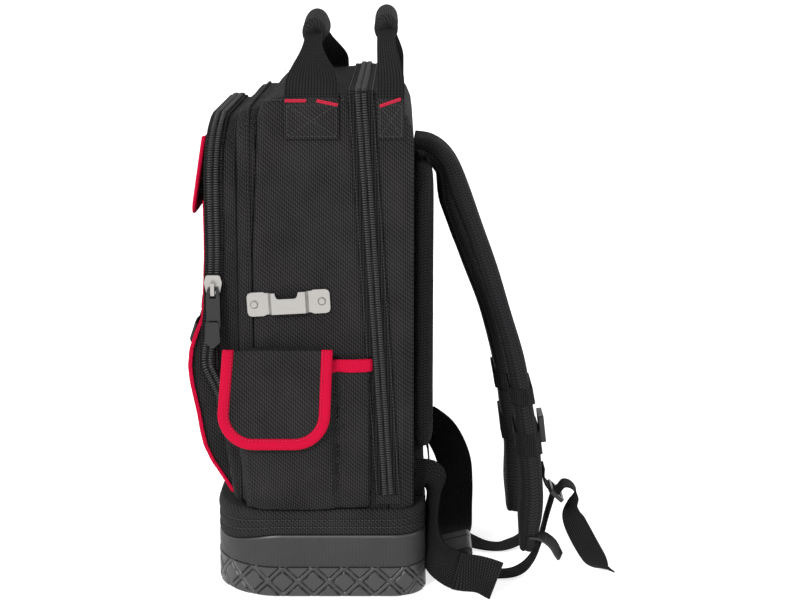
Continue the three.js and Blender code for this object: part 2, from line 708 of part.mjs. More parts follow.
function buildLink() {
  const width = PULL_WIDTH * 0.56;
  const top = hingeZ - PULL_LENGTH + 13;
  const shape = outline([[0, -LINK_LENGTH, 2, 2], [width, -LINK_LENGTH * 0.76, 2, 2], [width * 0.86, 0, 2, 2],
    [-width * 0.86, 0, 2, 2], [-width, -LINK_LENGTH * 0.76, 2, 2]]);
  const x0 = hingeX + PULL_THICK / 2 + GAP;
  const body = plate(shape, x0, x0 + LINK_THICK, sliderY - 1, top);
  const hook = block(hingeX - PULL_THICK / 2 - 1.2, x0 + 0.6, sliderY - 2.2, sliderY + 2.2,
    top - 5.6, top - 3);
  return body.add(hook);
}

addPiece('front_zip_link', buildLink(), 'plastic');

// Lower front pocket: a padded bellows whose face bulges and runs back to the cuff
const LOWER_FACE = smooth(table(['height', 'bulge'], [
  [0, -0.15], [0.06, 0.18], [0.13, 0.58], [0.2, 0.85], [0.31, 1.0], [0.4, 1.16], [0.48, 1.2], [0.55, 1.06],
  [0.62, 0.8], [0.7, 0.7], [0.85, 0.64], [1, 0.61],
]), 3);

function lowerFace(z) {
  const share = (z - LOWER_POCKET_FOOT) / (LOWER_POCKET_TOP - LOWER_POCKET_FOOT);
  const bulged = MID_FRONT - 9 - LOWER_POCKET_BULGE * lookUp(LOWER_FACE, 'height', 'bulge', share);
  return Math.min(bulged, pocketFace(z) - 2 * GAP - CLOTH);
}

function lowerLoop(half, inset, top) {
  const bottom = LOWER_POCKET_FOOT + GAP + inset + 4;
  const steps = 15;
  const points = [];
  for (let k = 0; k <= steps; k += 1) {
    const z = bottom + (top - bottom) * (k / steps);
    points.push([half - inset, z]);
  }
  return [...points, ...points.map(([x, z]) => [-x, z]).reverse()];
}

function lowerSolid(inset, top) {
  const rear = MID_FRONT + 2;
  const loops = table(['depth', 'inset'], [[0, 0], [0.8, 0], [0.96, 1.2], [1, 4]]).map((row) => {
    const loop = lowerLoop(LOWER_POCKET_WIDTH / 2, inset + row.inset, top);
    return loop.map(([x, z]) => new THREE.Vector3(x, rear + (lowerFace(z) + inset - rear) * row.depth, z));
  });
  return skin(loops, { ladder: true });
}

function buildLowerPocket() {
  const clear = pocketSolid(-GAP).add(midSolid(-GAP)).add(bodySolid(-GAP));
  return lowerSolid(0, LOWER_POCKET_TOP).subtract(lowerSolid(CLOTH, LOWER_POCKET_TOP + 20)).subtract(clear);
}

addPiece('lower_front_pocket', buildLowerPocket(), 'nylon');

// Red edge tape down each side of the lower pocket's face
const LOWER_BINDING_THICK = 2.4;
const LOWER_BINDING_DEPTH = 4.2;

function buildLowerBinding() {
  const steps = 18;
  const foot = LOWER_POCKET_FOOT + 10;
  const top = LOWER_POCKET_TOP - 2;
  const rows = Array.from({ length: steps + 1 }, (_, k) => foot + (top - foot) * (k / steps));
  const inner = LOWER_POCKET_WIDTH / 2 + GAP;
  const outer = inner + LOWER_BINDING_THICK;
  return skin(rows.map((z) => {
    const front = lowerFace(z) - 0.6;
    const rear = front + LOWER_BINDING_DEPTH;
    return [[inner, front], [outer, front], [outer, rear], [inner, rear]]
      .map(([x, y]) => new THREE.Vector3(x, y, z));
  }));
}

const lowerBinding = buildLowerBinding().subtract(pocketSolid(-GAP));
addPiece('lower_pocket_binding_near', lowerBinding, 'red');
addPiece('lower_pocket_binding_far', mirrored(lowerBinding), 'red');

// Webbing tool loops across the lower pocket: flat where sewn, standing off between.
// Their edges are shares of the pocket's height.
const TOOL_LOOPS = table(['name', 'low', 'high'], [
  ['tool_loops_upper', 0.723, 0.772], ['tool_loops_middle', 0.62, 0.66], ['tool_loops_lower', 0.515, 0.574],
]);
const TOOL_LOOP_MARGIN = 22;
const TOOL_LOOP_STAND = 4;
const TOOL_LOOP_BAYS = 4;

function buildToolLoops(low, high) {
  const loops = [];
  const steps = TOOL_LOOP_BAYS * 3;
  for (let k = 0; k <= steps; k += 1) {
    const share = k / steps;
    const x = (share - 0.5) * (LOWER_POCKET_WIDTH - 2 * TOOL_LOOP_MARGIN);
    const stand = GAP + TOOL_LOOP_STAND * Math.sin(Math.PI * share * TOOL_LOOP_BAYS) ** 2;
    loops.push([[low, 0], [high, 0], [high, WEBBING], [low, WEBBING]]
      .map(([z, out]) => new THREE.Vector3(x, lowerFace(z) - stand - out - GAP, z)));
  }
  return skin(loops);
}

const lowerClear = lowerSolid(-GAP, LOWER_POCKET_TOP);
const lowerHeight = LOWER_POCKET_TOP - LOWER_POCKET_FOOT;
for (const { name, low, high } of TOOL_LOOPS) {
  const loops = buildToolLoops(LOWER_POCKET_FOOT + low * lowerHeight, LOWER_POCKET_FOOT + high * lowerHeight);
  addPiece(name, loops.subtract(lowerClear), 'webbing');
}

// A flap with bound sides and foot: a sheet in a channel of edge tape
function boundFlap(corners, thick, bindingThick, bindingWidth, toSpace) {
  const sheet = prism(outline(corners, 0.9), 0, thick, toSpace);
  const spare = (bindingThick - thick) / 2;
  const outer = prism(outline(corners, 0), -spare, thick + spare, toSpace);
  const lift = corners.map(([u, v, ...rounding], i) => [u, i < 2 ? v : v + bindingWidth * 2, ...rounding]);
  const window = prism(outline(lift, bindingWidth), -spare - 1, thick + spare + 1, toSpace);
  const room = prism(outline(corners, 0.9 - GAP), -GAP, thick + GAP, toSpace);
  return { sheet, binding: outer.subtract(window).subtract(room) };
}

// Upper front flap: leans out toward its foot
function buildUpperFlap() {
  const half = UPPER_FLAP_WIDTH / 2;
  const corners = [[-half, -UPPER_FLAP_HEIGHT, 18, 4], [half, -UPPER_FLAP_HEIGHT, 18, 4],
    [half, 0, 0.5, 1], [-half, 0, 0.5, 1]];
  const lean = Math.atan2(UPPER_FLAP_STAND, UPPER_FLAP_HEIGHT);
  const root = pocketFace(UPPER_FLAP_TOP) - GAP - 1.4;
  const toSpace = (u, v, w) => new THREE.Vector3(u, root + v * Math.sin(lean) - w * Math.cos(lean),
    UPPER_FLAP_TOP + v * Math.cos(lean) - w * Math.sin(lean));
  return boundFlap(corners, CLOTH, UPPER_FLAP_BINDING, BINDING, toSpace);
}

const upperFlap = buildUpperFlap();
addPiece('upper_flap', upperFlap.sheet, 'nylon');
addPiece('upper_flap_binding', upperFlap.binding, 'red');

// Side pocket: outer wall by length and height, a deep front box and a shallow rear sleeve
const SIDE_PLAN = table(['along', 'depth'], [
  [0, -0.8], [0.015, 0.1], [0.07, 0.62], [0.2, 0.98], [0.42, 1.06], [0.62, 0.98],
  [0.71, 0.78], [0.755, 0.36], [0.8, 0.5], [0.9, 0.52], [0.98, 0.34], [1, 0],
]);
const SIDE_LEVELS = table(['height', 'depth'], [
  [0, 0.42], [0.1, 0.8], [0.35, 1], [0.6, 0.98], [0.86, 0.62], [1, 0.5],
]);

function sidePocketSolid(inset, top, bottom) {
  const height = SIDE_POCKET_TOP - FRONT_BOTTOM;
  const loops = SIDE_LEVELS.map((level, i) => {
    const share = level.height;
    const last = i === SIDE_LEVELS.length - 1;
    const z = last ? top : Math.max(FRONT_BOTTOM + share * height, bottom + i * 0.5);
    const length = SIDE_POCKET_LENGTH - SIDE_POCKET_SLANT * (1 - share) - 2 * inset;
    const rear = SIDE_POCKET_REAR - inset;
    const outer = SIDE_PLAN.map(({ along, depth }) => {
      const out = depth > 0 ? depth * level.depth : depth;
      const x = BODY_HALF + GAP + SIDE_POCKET_DEPTH * out - inset;
      return new THREE.Vector3(x, rear - length * (1 - along), z);
    });
    const back = BODY_HALF - SIDE_POCKET_DEPTH - inset;
    return [...outer, new THREE.Vector3(back, rear, z), new THREE.Vector3(back, rear - length, z)];
  });
  return skin(loops);
}

const neighbours = bodySolid(-GAP).add(midSolid(-GAP)).add(pocketSolid(-GAP));

function buildSidePocket() {
  const outside = sidePocketSolid(0, SIDE_POCKET_TOP, FRONT_BOTTOM);
  const inside = sidePocketSolid(CLOTH, SIDE_POCKET_TOP + 1, FRONT_BOTTOM + CLOTH);
  return outside.subtract(inside).subtract(neighbours);
}

const sidePocket = buildSidePocket();
const pocketClear = sidePocketSolid(-2 * GAP - 1, SIDE_POCKET_TOP + 2, FRONT_BOTTOM - GAP);
const mainZip = buildMainZip().subtract(pocketClear).subtract(mirrored(pocketClear));
addPiece('main_zip', mainZip, 'webbing');
addPiece('side_pocket_near', sidePocket, 'nylon');
addPiece('side_pocket_far', mirrored(sidePocket), 'nylon');

// Red tape folded over the pocket's mouth
function buildMouthBinding() {
  const grown = sidePocketSolid(-GAP - 1, SIDE_POCKET_TOP + 1.4, FRONT_BOTTOM - 2);
  const hollow = sidePocketSolid(CLOTH, SIDE_POCKET_TOP + 3, FRONT_BOTTOM + CLOTH);
  const pocket = sidePocketSolid(-GAP, SIDE_POCKET_TOP + GAP, FRONT_BOTTOM - 1);
  const rim = block(-BEYOND, BEYOND, -BEYOND, BEYOND, SIDE_POCKET_TOP - BINDING, BEYOND);
  return grown.subtract(hollow).intersect(rim).subtract(pocket).subtract(neighbours);
}

const mouthBinding = buildMouthBinding();
addPiece('side_pocket_binding_near', mouthBinding, 'red');
addPiece('side_pocket_binding_far', mirrored(mouthBinding), 'red');

// Side flap: leans out over the pocket, carried by a ledge sewn to the side
function buildSideFlap() {
  const rear = SIDE_FLAP_REAR;
  const front = rear - SIDE_FLAP_LENGTH;
  const corners = [[front, -SIDE_FLAP_HEIGHT, SIDE_FLAP_RADIUS, 5],
    [rear, -SIDE_FLAP_HEIGHT, SIDE_FLAP_RADIUS, 5], [rear + 4, 0, 0.5, 1], [front + 8, 0, 0.5, 1]];
  const lean = Math.atan2(SIDE_FLAP_LEAN, SIDE_FLAP_HEIGHT);
  const root = BODY_HALF + GAP + SIDE_FLAP_STAND;
  const toSpace = (u, v, w) => new THREE.Vector3(root - v * Math.sin(lean) + w * Math.cos(lean), u,
    SIDE_FLAP_TOP + v * Math.cos(lean) + w * Math.sin(lean));
  const flap = boundFlap(corners, CLOTH, SIDE_FLAP_BINDING, BINDING, toSpace);
  const ledge = block(BODY_HALF - 10, root + CLOTH * 0.6, front + 0.3 * SIDE_FLAP_LENGTH,
    rear - 0.075 * SIDE_FLAP_LENGTH, SIDE_FLAP_TOP - CLOTH, SIDE_FLAP_TOP - 0.2);
  return { sheet: flap.sheet.add(ledge.subtract(neighbours)), binding: flap.binding.subtract(ledge) };
}

const sideFlap = buildSideFlap();
const flapClear = sidePocketSolid(-GAP, SIDE_POCKET_TOP + GAP, FRONT_BOTTOM).add(mouthBinding);
addPiece('side_flap_near', sideFlap.sheet.subtract(flapClear), 'nylon');
addPiece('side_flap_far', mirrored(sideFlap.sheet.subtract(flapClear)), 'nylon');
addPiece('side_flap_binding_near', sideFlap.binding.subtract(flapClear), 'red');
addPiece('side_flap_binding_far', mirrored(sideFlap.binding.subtract(flapClear)), 'red');

// Tape clip: a steel plate with a raised notched bridge between two riveted pads
const CLIP_PAD = 19;

function clipSpace(u, v, w) {
  const tilt = THREE.MathUtils.degToRad(CLIP_TILT);
  const y = CLIP_REAR - CLIP_LENGTH + u * Math.cos(tilt) - v * Math.sin(tilt);
  return new THREE.Vector3(w, y, CLIP_BOTTOM + u * Math.sin(tilt) + v * Math.cos(tilt));
}

function buildClip() {
  const x0 = BODY_HALF + GAP;
  const pads = [0, CLIP_LENGTH - CLIP_PAD].map((start) => prism(outline([[start, 0, 4, 2],
    [start + CLIP_PAD, 0, 4, 2], [start + CLIP_PAD, CLIP_HEIGHT, 4, 2], [start, CLIP_HEIGHT, 4, 2]]),
  x0, x0 + CLIP_PLATE, clipSpace));
  const [a, b] = [CLIP_PAD - 4, CLIP_LENGTH - CLIP_PAD + 4];
  const bridgeProfile = [[a, 0], [b, 0], [b, CLIP_PLATE], [b - 5, CLIP_PLATE], [b - 8, CLIP_RISE],
    [a + 8, CLIP_RISE], [a + 5, CLIP_PLATE], [a, CLIP_PLATE]];
  const ceiling = CLIP_RISE - CLIP_PLATE;
  const under = [[a + 6, -1], [b - 6, -1], [b - 8.6, ceiling], [a + 8.6, ceiling]];
  const across = (points, v0, v1) => prism(points, v0, v1, (u, w, v) => clipSpace(u, v, x0 + w));
  const bridge = across(bridgeProfile, 1.5, CLIP_HEIGHT - 1).subtract(across(under, -1, CLIP_HEIGHT + 2));
  const notch = prism(outline([[a + 13, CLIP_HEIGHT - 7, 3, 2], [b - 16, CLIP_HEIGHT - 7, 3, 2],
    [b - 13, CLIP_HEIGHT + 4, 1, 1], [a + 10, CLIP_HEIGHT + 4, 1, 1]]),
  x0 - 1, x0 + CLIP_RISE + 2, clipSpace);
  return pads[0].add(pads[1]).add(bridge).subtract(notch);
}

addPiece('tape_clip', buildClip(), 'steel');

const RIVETS = table(['name', 'along'], [
  ['clip_rivet_front', CLIP_PAD * 0.35], ['clip_rivet_rear', CLIP_LENGTH - CLIP_PAD * 0.4],
]);
const RIVET_HEAD = 1.2;
for (const { name, along } of RIVETS) {
  const centre = clipSpace(along, CLIP_HEIGHT * 0.5, BODY_HALF + CLIP_PLATE + 2 * GAP + RIVET_HEAD / 2);
  const head = primitive(new THREE.CylinderGeometry(RIVET_RADIUS * 0.7, RIVET_RADIUS, RIVET_HEAD, 12), centre,
    new THREE.Euler(0, 0, -Math.PI / 2));
  addPiece(name, head, 'steel');
}

// Carrying handles: webbing from side to side through a padded grip
const HANDLE_PATH = table(['across', 'rise'], [
  [1, 0], [1, 0.36], [0.965, 0.48], [0.8, 0.68], [0.58, 0.84], [0.42, 0.915], [0.2, 0.975], [0, 1],
]);

function handleRows(baseY, topY, baseWidth, top) {
  const edge = BODY_HALF + GAP + WEBBING / 2 + 0.1;
  const half = smooth(HANDLE_PATH, 2).map(({ across, rise }) => {
    const share = THREE.MathUtils.smoothstep(rise, 0.5, 0.88);
    return {
      x: across * edge,
      y: THREE.MathUtils.lerp(baseY, topY, share),
      z: HANDLE_BASE_Z + rise * (top - HANDLE_BASE_Z),
      turn: 0,
      width: THREE.MathUtils.lerp(baseWidth, HANDLE_NECK, share),
    };
  });
  return [...half, ...half.slice(0, -1).reverse().map((row) => ({ ...row, x: -row.x }))];
}

function buildHandle(name, baseY, topY, baseWidth, top) {
  const rows = handleRows(baseY, topY, baseWidth, top);
  const webbing = strip(rows, WEBBING, 0, Y_AXIS).subtract(bodySolid(-GAP));
  const grown = strip(rows, WEBBING, GAP, Y_AXIS);
  const gripRows = [];
  const steps = 6;
  for (let k = 0; k <= steps; k += 1) {
    const share = (2 * k) / steps - 1;
    const z = top - GRIP_ARCH * share * share * 0.9;
    gripRows.push({ x: share * GRIP_LENGTH / 2, y: topY, z, turn: 0, width: 0 });
  }
  const ringOf = (row) => {
    const end = Math.abs(row.x) > GRIP_LENGTH / 2 - 1 ? 0.8 : 1;
    const sides = 10;
    return Array.from({ length: sides }, (_, i) => {
      const angle = (i / sides) * Math.PI * 2;
      return [GRIP_RADIUS * 0.94 * end * Math.cos(angle), GRIP_RADIUS * 1.12 * end * Math.sin(angle)];
    });
  };
  const grip = sweep(gripRows, ringOf, Y_AXIS).subtract(grown);
  addPiece(`${name}_webbing`, webbing, 'webbing');
  addPiece(`${name}_grip`, grip, 'webbing');
}

buildHandle('handle_front', HANDLE_FRONT_Y, HANDLE_FRONT_Y - 2, HANDLE_FRONT_WIDTH,
  HANDLE_TOP - HANDLE_FRONT_DROP);
buildHandle('handle_rear', HANDLE_REAR_Y + 3, HANDLE_REAR_Y - 2, WEB_NARROW, HANDLE_TOP);

// Back pads: two padded columns with a channel along the spine
function buildBackPad() {
  const inner = PAD_CHANNEL / 2;
  const rear = BODY_REAR + GAP;
  const outer = inner + PAD_WIDTH;
  const corners = [[inner, PAD_BOTTOM], [outer, PAD_BOTTOM], [outer, PAD_TOP], [inner, PAD_TOP]]
    .map(([x, z]) => [x, z, PAD_RADIUS, 4]);
  const rows = table(['depth', 'inset'], [[0, 1.5], [0.35, 0], [0.75, 2], [0.94, 6], [1, 12]]);
  return skin(rows.map((row) => outline(corners, row.inset)
    .map(([x, z]) => new THREE.Vector3(x, rear + PAD_THICK * row.depth, z))));
}

// Shoulder straps: path by shares of the fall, the reach and the spread
const STRAP_PATH = table(['fall', 'reach', 'spread', 'thick', 'wide'], [
  [0, -0.09, 0, 0.62, 0.86], [0.01, 0.1, 0.02, 0.68, 0.9], [0.05, 0.26, 0.06, 0.8, 0.96],
  [0.13, 0.375, 0.14, 0.9, 1], [0.25, 0.54, 0.32, 0.88, 1], [0.38, 0.7, 0.52, 0.86, 1],
  [0.5, 0.83, 0.7, 0.88, 1], [0.62, 0.915, 0.84, 0.92, 1], [0.74, 0.975, 0.94, 1, 0.98],
  [0.83, 1.0, 1, 1.05, 0.92], [0.92, 0.985, 1, 0.95, 0.78], [0.98, 0.965, 1, 0.6, 0.5],
]);

function strapRows(side) {
  const start = BODY_REAR + GAP + 5;
  return smooth(STRAP_PATH, 2).map((row) => {
    const far = side < 0 ? 1 : 0;
    const settle = Math.min(row.fall * 8, 1);
    const swing = far * FAR_STRAP_SWING * THREE.MathUtils.smoothstep(row.fall, 0.35, 1);
    const sag = far * FAR_STRAP_SAG * settle * (1 - 0.6 * row.fall);
    const fall = STRAP_FALL - far * FAR_STRAP_DROP;
    return {
      x: side * (STRAP_TOP_X + STRAP_SPREAD * row.spread - 2 * swing * 0.95),
      y: start + STRAP_REACH * row.reach - sag * Math.min(row.reach * 2, 1),
      z: STRAP_TOP - far * FAR_STRAP_DROP - fall * row.fall,
      turn: 0,
      width: STRAP_WIDTH * row.wide,
      thick: STRAP_THICK * row.thick,
    };
  });
}

function strapSolid(rows, grow) {
  return sweep(rows, (row) => padSection(row.width + 2 * grow, row.thick + 2 * grow));
}

function level(rows, z) {
  return rows.reduce((best, row) => (Math.abs(row.z - z) < Math.abs(best.z - z) ? row : best), rows[0]);
}

// Sleeve of webbing round a strap, centred at a height
function sleeve(rows, middle, width) {
  const slice = block(-BEYOND, BEYOND, -BEYOND, BEYOND, middle - width / 2, middle + width / 2);
  return strapSolid(rows, GAP + WEBBING * 0.8).subtract(strapSolid(rows, GAP)).intersect(slice);
}

// Ladder frame: a flat buckle with two slots, lying in the plane of its length and width
function ladderFrame(place, length, width, thick, tiltDeg) {
  const tilt = THREE.MathUtils.degToRad(tiltDeg);
  const toSpace = (u, v, w) => new THREE.Vector3(place.x + u,
    place.y + v * Math.cos(tilt) - w * Math.sin(tilt), place.z + v * Math.sin(tilt) + w * Math.cos(tilt));
  const [a, b, t] = [width / 2, length / 2, thick / 2];
  const box = (u, v) => outline([[-u, -v, 1.6, 1], [u, -v, 1.6, 1], [u, v, 1.6, 1], [-u, v, 1.6, 1]]);
  const frame = prism(box(a, b), -t, t, toSpace);
  const slot = (shift) => prism(box(a - 3, b * 0.24).map(([u, v]) => [u, v + shift]),
    -t - 1, t + 1, toSpace);
  return frame.subtract(slot(b * 0.4)).subtract(slot(-b * 0.4));
}

// A band through rows that give its middle and the direction of its width
function band(rows, width, thickness) {
  const path = smooth(rows, 2);
  const places = path.map((row) => new THREE.Vector3(row.x, row.y, row.z));
  return skin(path.map((row, i) => {
    const ahead = places[Math.min(i + 1, path.length - 1)];
    const tangent = ahead.clone().sub(places[Math.max(i - 1, 0)]).normalize();
    const across = new THREE.Vector3(row.wx, row.wy, row.wz);
    across.addScaledVector(tangent, -across.dot(tangent)).normalize();
    const normal = tangent.clone().cross(across);
    return flatSection(width, thickness)
      .map(([u, v]) => places[i].clone().addScaledVector(across, u).addScaledVector(normal, v));
  }));
}

const BAND_COLUMNS = ['x', 'y', 'z', 'wx', 'wy', 'wz'];

// Rows given as shares of the reach behind the bag, the rise and the offset across
function bandRows(shares, across, reach, rise) {
  return table(BAND_COLUMNS, shares).map((row) => ({
    ...row, x: row.x * across, y: BODY_REAR + GAP + WEBBING / 2 + row.y * reach, z: row.z * rise,
  }));
}

const strapFoot = STRAP_TOP_X + STRAP_SPREAD;

// Adjuster webbing: from the bag's corner along the ground and up under the ladder buckle
const ADJUSTER_REACH = 140;
const ADJUSTER_RISE = 86;
const ADJUSTER_NEAR = [
  [0.5, 0.0, 1.14, 1, 0, 0], [0.5, 0.095, 1.07, 1, 0, 0], [0.5, 0.122, 0.86, 1, 0, 0],
  [0.5, 0.125, 0.5, 1, 0, 0], [0.51, 0.13, 0.2, 1, -0.1, 0], [0.55, 0.165, 0.05, 0.9, -0.45, 0],
  [0.76, 0.32, 0.025, 0.7, -0.7, 0], [1.0, 0.52, 0.025, 0.8, -0.6, 0], [1.04, 0.72, 0.055, 1, 0, 0],
  [1.01, 0.84, 0.2, 1, 0, 0], [1, 0.905, 0.46, 1, 0, 0], [1, 0.945, 0.74, 1, 0, 0],
];
const ADJUSTER_FAR = [
  [-0.5, 0.0, 1.14, 1, 0, 0], [-0.5, 0.095, 1.07, 1, 0, 0], [-0.5, 0.122, 0.86, 1, 0, 0],
  [-0.5, 0.125, 0.5, 1, 0, 0], [-0.49, 0.13, 0.2, 1, -0.1, 0], [-0.44, 0.165, 0.05, 0.85, -0.5, 0],
  [-0.2, 0.27, 0.025, 0.5, -0.87, 0], [0.08, 0.39, 0.025, 0.5, -0.87, 0], [0.28, 0.52, 0.025, 0.75, -0.65, 0],
  [0.34, 0.68, 0.045, 1, 0, 0], [0.2, 0.82, 0.12, 1, 0, 0], [0.12, 0.875, 0.35, 1, 0, 0],
];
const TAIL_NEAR = [
  [1, 1.065, 1.13, 1, 0, 0], [1, 1.125, 1.1, 1, 0, 0], [1, 1.158, 0.99, 1, 0, 0],
  [1, 1.135, 0.87, 0.9, 0.3, 0.2], [1, 1.14, 0.7, 0.5, 0.8, 0.5], [1, 1.2, 0.48, 0.25, 0.85, 0.5],
  [0.99, 1.29, 0.22, 0.35, 0.8, 0.5], [0.97, 1.35, 0.085, 0.75, 0.5, 0.3],
  [0.95, 1.42, 0.05, 0.9, 0.3, 0.05],
];
const LOCK_TILT = -42;
const LOCK_WEB_TOP = 116;
const LOCK_WEB_SEWN = 12;
const TAB_WIDTH = 13;
const TAB_THICK = 2.6;
const TAB_PATH = [
  [1.2, 0.81, 0.59, 1, -0.2, -0.3], [1.2, 0.87, 0.59, 1, -0.3, -0.35], [1.2, 0.933, 0.545, 1, -0.4, -0.4],
  [1.2, 0.984, 0.469, 1, -0.45, -0.4], [1.2, 1.013, 0.383, 1, -0.45, -0.3],
  [1.2, 1.036, 0.32, 1, -0.35, -0.2],
];

// The ladder buckle lies off the strap, between the webbing that carries it and the adjuster
const lockTurn = THREE.MathUtils.degToRad(LOCK_TILT);
const lockPlace = new THREE.Vector3(strapFoot, BODY_REAR + ADJUSTER_REACH * 1.012, ADJUSTER_RISE * 1.035);

function besideLock(along, out) {
  return {
    x: strapFoot,
    y: lockPlace.y + along * Math.cos(lockTurn) - out * Math.sin(lockTurn),
    z: lockPlace.z + along * Math.sin(lockTurn) + out * Math.cos(lockTurn),
    wx: 1,
    wy: 0,
    wz: 0,
  };
}

function adjusterRows(shares) {
  return bandRows(shares, strapFoot, ADJUSTER_REACH, ADJUSTER_RISE);
}

const lockFace = LOCK_THICK / 2 + GAP + WEBBING / 2;
const adjusterNear = [...adjusterRows(ADJUSTER_NEAR), besideLock(0, -lockFace)];
const tailNear = [besideLock(0, lockFace), besideLock(1, lockFace + 0.4), ...adjusterRows(TAIL_NEAR)];
addPiece('adjuster_near', band(adjusterNear, WEB_NARROW, WEBBING), 'webbing');
addPiece('adjuster_far', band(adjusterRows(ADJUSTER_FAR), WEB_NARROW, WEBBING), 'webbing');
addPiece('adjuster_tail_near', band(tailNear, WEB_NARROW, WEBBING), 'webbing');
const ladderLock = ladderFrame(lockPlace, LOCK_LENGTH, LOCK_WIDTH, LOCK_THICK, LOCK_TILT);
addPiece('ladder_lock_near', ladderLock, 'plastic');

// Waist belt: two webbings from the bag's rear corners to a fastened side release buckle
const BELT_REACH = 75;
const BELT_RISE = 100;
const BELT_END = 0.7;
const BELT_FAR = [
  [-1.06, 0.01, 1.09, 0, 0, 1], [-1.04, 0.19, 1.09, 0, 0.12, 1], [-0.93, 0.5, 0.92, 0, 0.75, 0.65],
  [-0.72, 0.68, 0.68, 0.1, 1, 0.3], [-0.47, 0.68, 0.45, 0.1, 1, 0.1], [-0.22, 0.63, 0.26, 0.1, 1, 0.05],
  [0.06, 0.58, 0.16, 0, 1, 0.05], [0.36, 0.54, 0.19, 0, 1, 0.1], [0.62, 0.5, 0.24, 0, 0.97, 0.25],
  [BELT_END, 0.49, 0.27, 0, 0.97, 0.25],
];
const BELT_NEAR = [
  [1.17, 0.01, 1.09, 0, 0, 1], [1.17, 0.19, 1.08, 0, 0.25, 0.97], [1.19, 0.34, 0.95, 0.8, 0.3, 0.4],
  [1.23, 0.33, 0.72, 0.95, 0.3, 0], [1.28, 0.33, 0.5, 0.8, 0.45, 0.3], [1.33, 0.38, 0.32, 0.15, 0.4, 0.9],
  [1.37, 0.5, 0.22, -0.1, 0.2, 1], [1.39, 0.62, 0.203, -0.1, 0.1, 1],
];
const BELT_TAIL = [
  [1.392, 0.631, 0.203, -0.1, 0.1, 1], [1.46, 0.84, 0.2, -0.1, 0, 1], [1.56, 1.06, 0.175, -0.5, 0.1, 0.85],
];
const beltRows = (shares) => bandRows(shares, strapFoot, BELT_REACH, BELT_RISE);
addPiece('belt_far', band(beltRows(BELT_FAR), WEB_WIDE, WEBBING).subtract(bodySolid(-GAP)), 'webbing');
addPiece('belt_near', band(beltRows(BELT_NEAR), WEB_WIDE, WEBBING), 'webbing');
addPiece('belt_tail', band(beltRows(BELT_TAIL), WEB_WIDE, WEBBING), 'webbing');

// The buckle's halves, their length across the bag
function buckleHalf(x0, x1, end) {
  const [leanCos, leanSin] = [0.96, 0.25];
  const centre = new THREE.Vector3(0, BODY_REAR + BELT_REACH * 0.5, BELT_RISE * 0.28);
  const rows = table(['share', 'inset'], [[0, end], [0.12, 1], [0.88, 1], [1, 6 - end]]);
  return skin(rows.map(({ share, inset }) => {
    const [u, v] = [WEB_WIDE / 2 + BUCKLE_RIM - inset, BUCKLE_THICK / 2 - inset * 0.4];
    const x = THREE.MathUtils.lerp(x0, x1, share);
    return outline([[-u, -v, 3, 2], [u, -v, 3, 2], [u, v, 3, 2], [-u, v, 3, 2]])
      .map(([across, thick]) => new THREE.Vector3(x, centre.y + across * leanCos - thick * leanSin,
        centre.z + across * leanSin + thick * leanCos));
  }));
}

const buckleStart = strapFoot * BELT_END + GAP + 1;
const buckleJoin = buckleStart + BUCKLE_LENGTH * 0.4;
const buckleEnd = buckleStart + BUCKLE_LENGTH * 1.2;
addPiece('belt_buckle_male', buckleHalf(buckleStart, buckleJoin, 3), 'plastic');
addPiece('belt_buckle_female', buckleHalf(buckleJoin + GAP, buckleEnd, 1), 'plastic');

// Webbing sewn to the near strap carries the ladder buckle, and a moulded tab ends the strap
function addStrapEnd(rows) {
  const lockEnd = LOCK_LENGTH / 2 + GAP;
  const sewn = [LOCK_WEB_TOP, LOCK_WEB_TOP - LOCK_WEB_SEWN].map((z) => {
    const { y, thick } = level(rows, z);
    return { x: strapFoot, y: y + thick / 2 + 2 * GAP + WEBBING / 2, z, wx: 1, wy: 0, wz: 0 };
  });
  const carried = [...sewn, besideLock(-lockEnd - 3, 0), besideLock(-lockEnd, 0)];
  const clear = strapSolid(rows, GAP);
  const tab = band(adjusterRows(TAB_PATH), TAB_WIDTH, TAB_THICK);
  addPiece('strap_end_tab_near', tab.subtract(clear), 'plastic');
  addPiece('lock_webbing_near', band(carried, WEB_NARROW, WEBBING).subtract(clear), 'webbing');
}

// Chest buckle: a ladder frame that lies on the strap's loop
function sternumBuckle(rows, z) {
  const chest = level(rows, z);
  const below = rows[rows.indexOf(chest) + 1];
  const slope = Math.atan2(chest.z - below.z, chest.y - below.y);
  const stand = chest.thick / 2 + 2 * GAP + WEBBING + STERNUM_BUCKLE_THICK / 2;
  const place = new THREE.Vector3(chest.x, chest.y + stand * Math.sin(slope),
    chest.z - stand * Math.cos(slope));
  return ladderFrame(place, STERNUM_BUCKLE_LENGTH, STERNUM_BUCKLE_WIDTH, STERNUM_BUCKLE_THICK,
    THREE.MathUtils.radToDeg(slope));
}

const straps = table(['word', 'rows', 'drop'], [
  ['near', strapRows(1), 0], ['far', strapRows(-1), FAR_STRAP_DROP],
]);
for (const { word, rows, drop } of straps) {
  addPiece(`shoulder_strap_${word}`, strapSolid(rows, 0).subtract(bodySolid(-GAP)), 'mesh');
  addPiece(`sternum_loop_${word}`, sleeve(rows, STERNUM_Z - drop, STERNUM_LOOP_WIDTH), 'webbing');
  addPiece(`accessory_loop_${word}`, sleeve(rows, ACCESSORY_Z - drop, ACCESSORY_LOOP_WIDTH), 'webbing');
  addPiece(`sternum_buckle_${word}`, sternumBuckle(rows, STERNUM_Z - drop), 'plastic');
}
addStrapEnd(straps[0].rows);

const padClear = strapSolid(straps[0].rows, 2 * GAP).add(strapSolid(straps[1].rows, 2 * GAP));
const pads = buildBackPad();
addPiece('back_pad_near', pads.subtract(padClear), 'mesh');
addPiece('back_pad_far', mirrored(pads).subtract(padClear), 'mesh');

export default group;
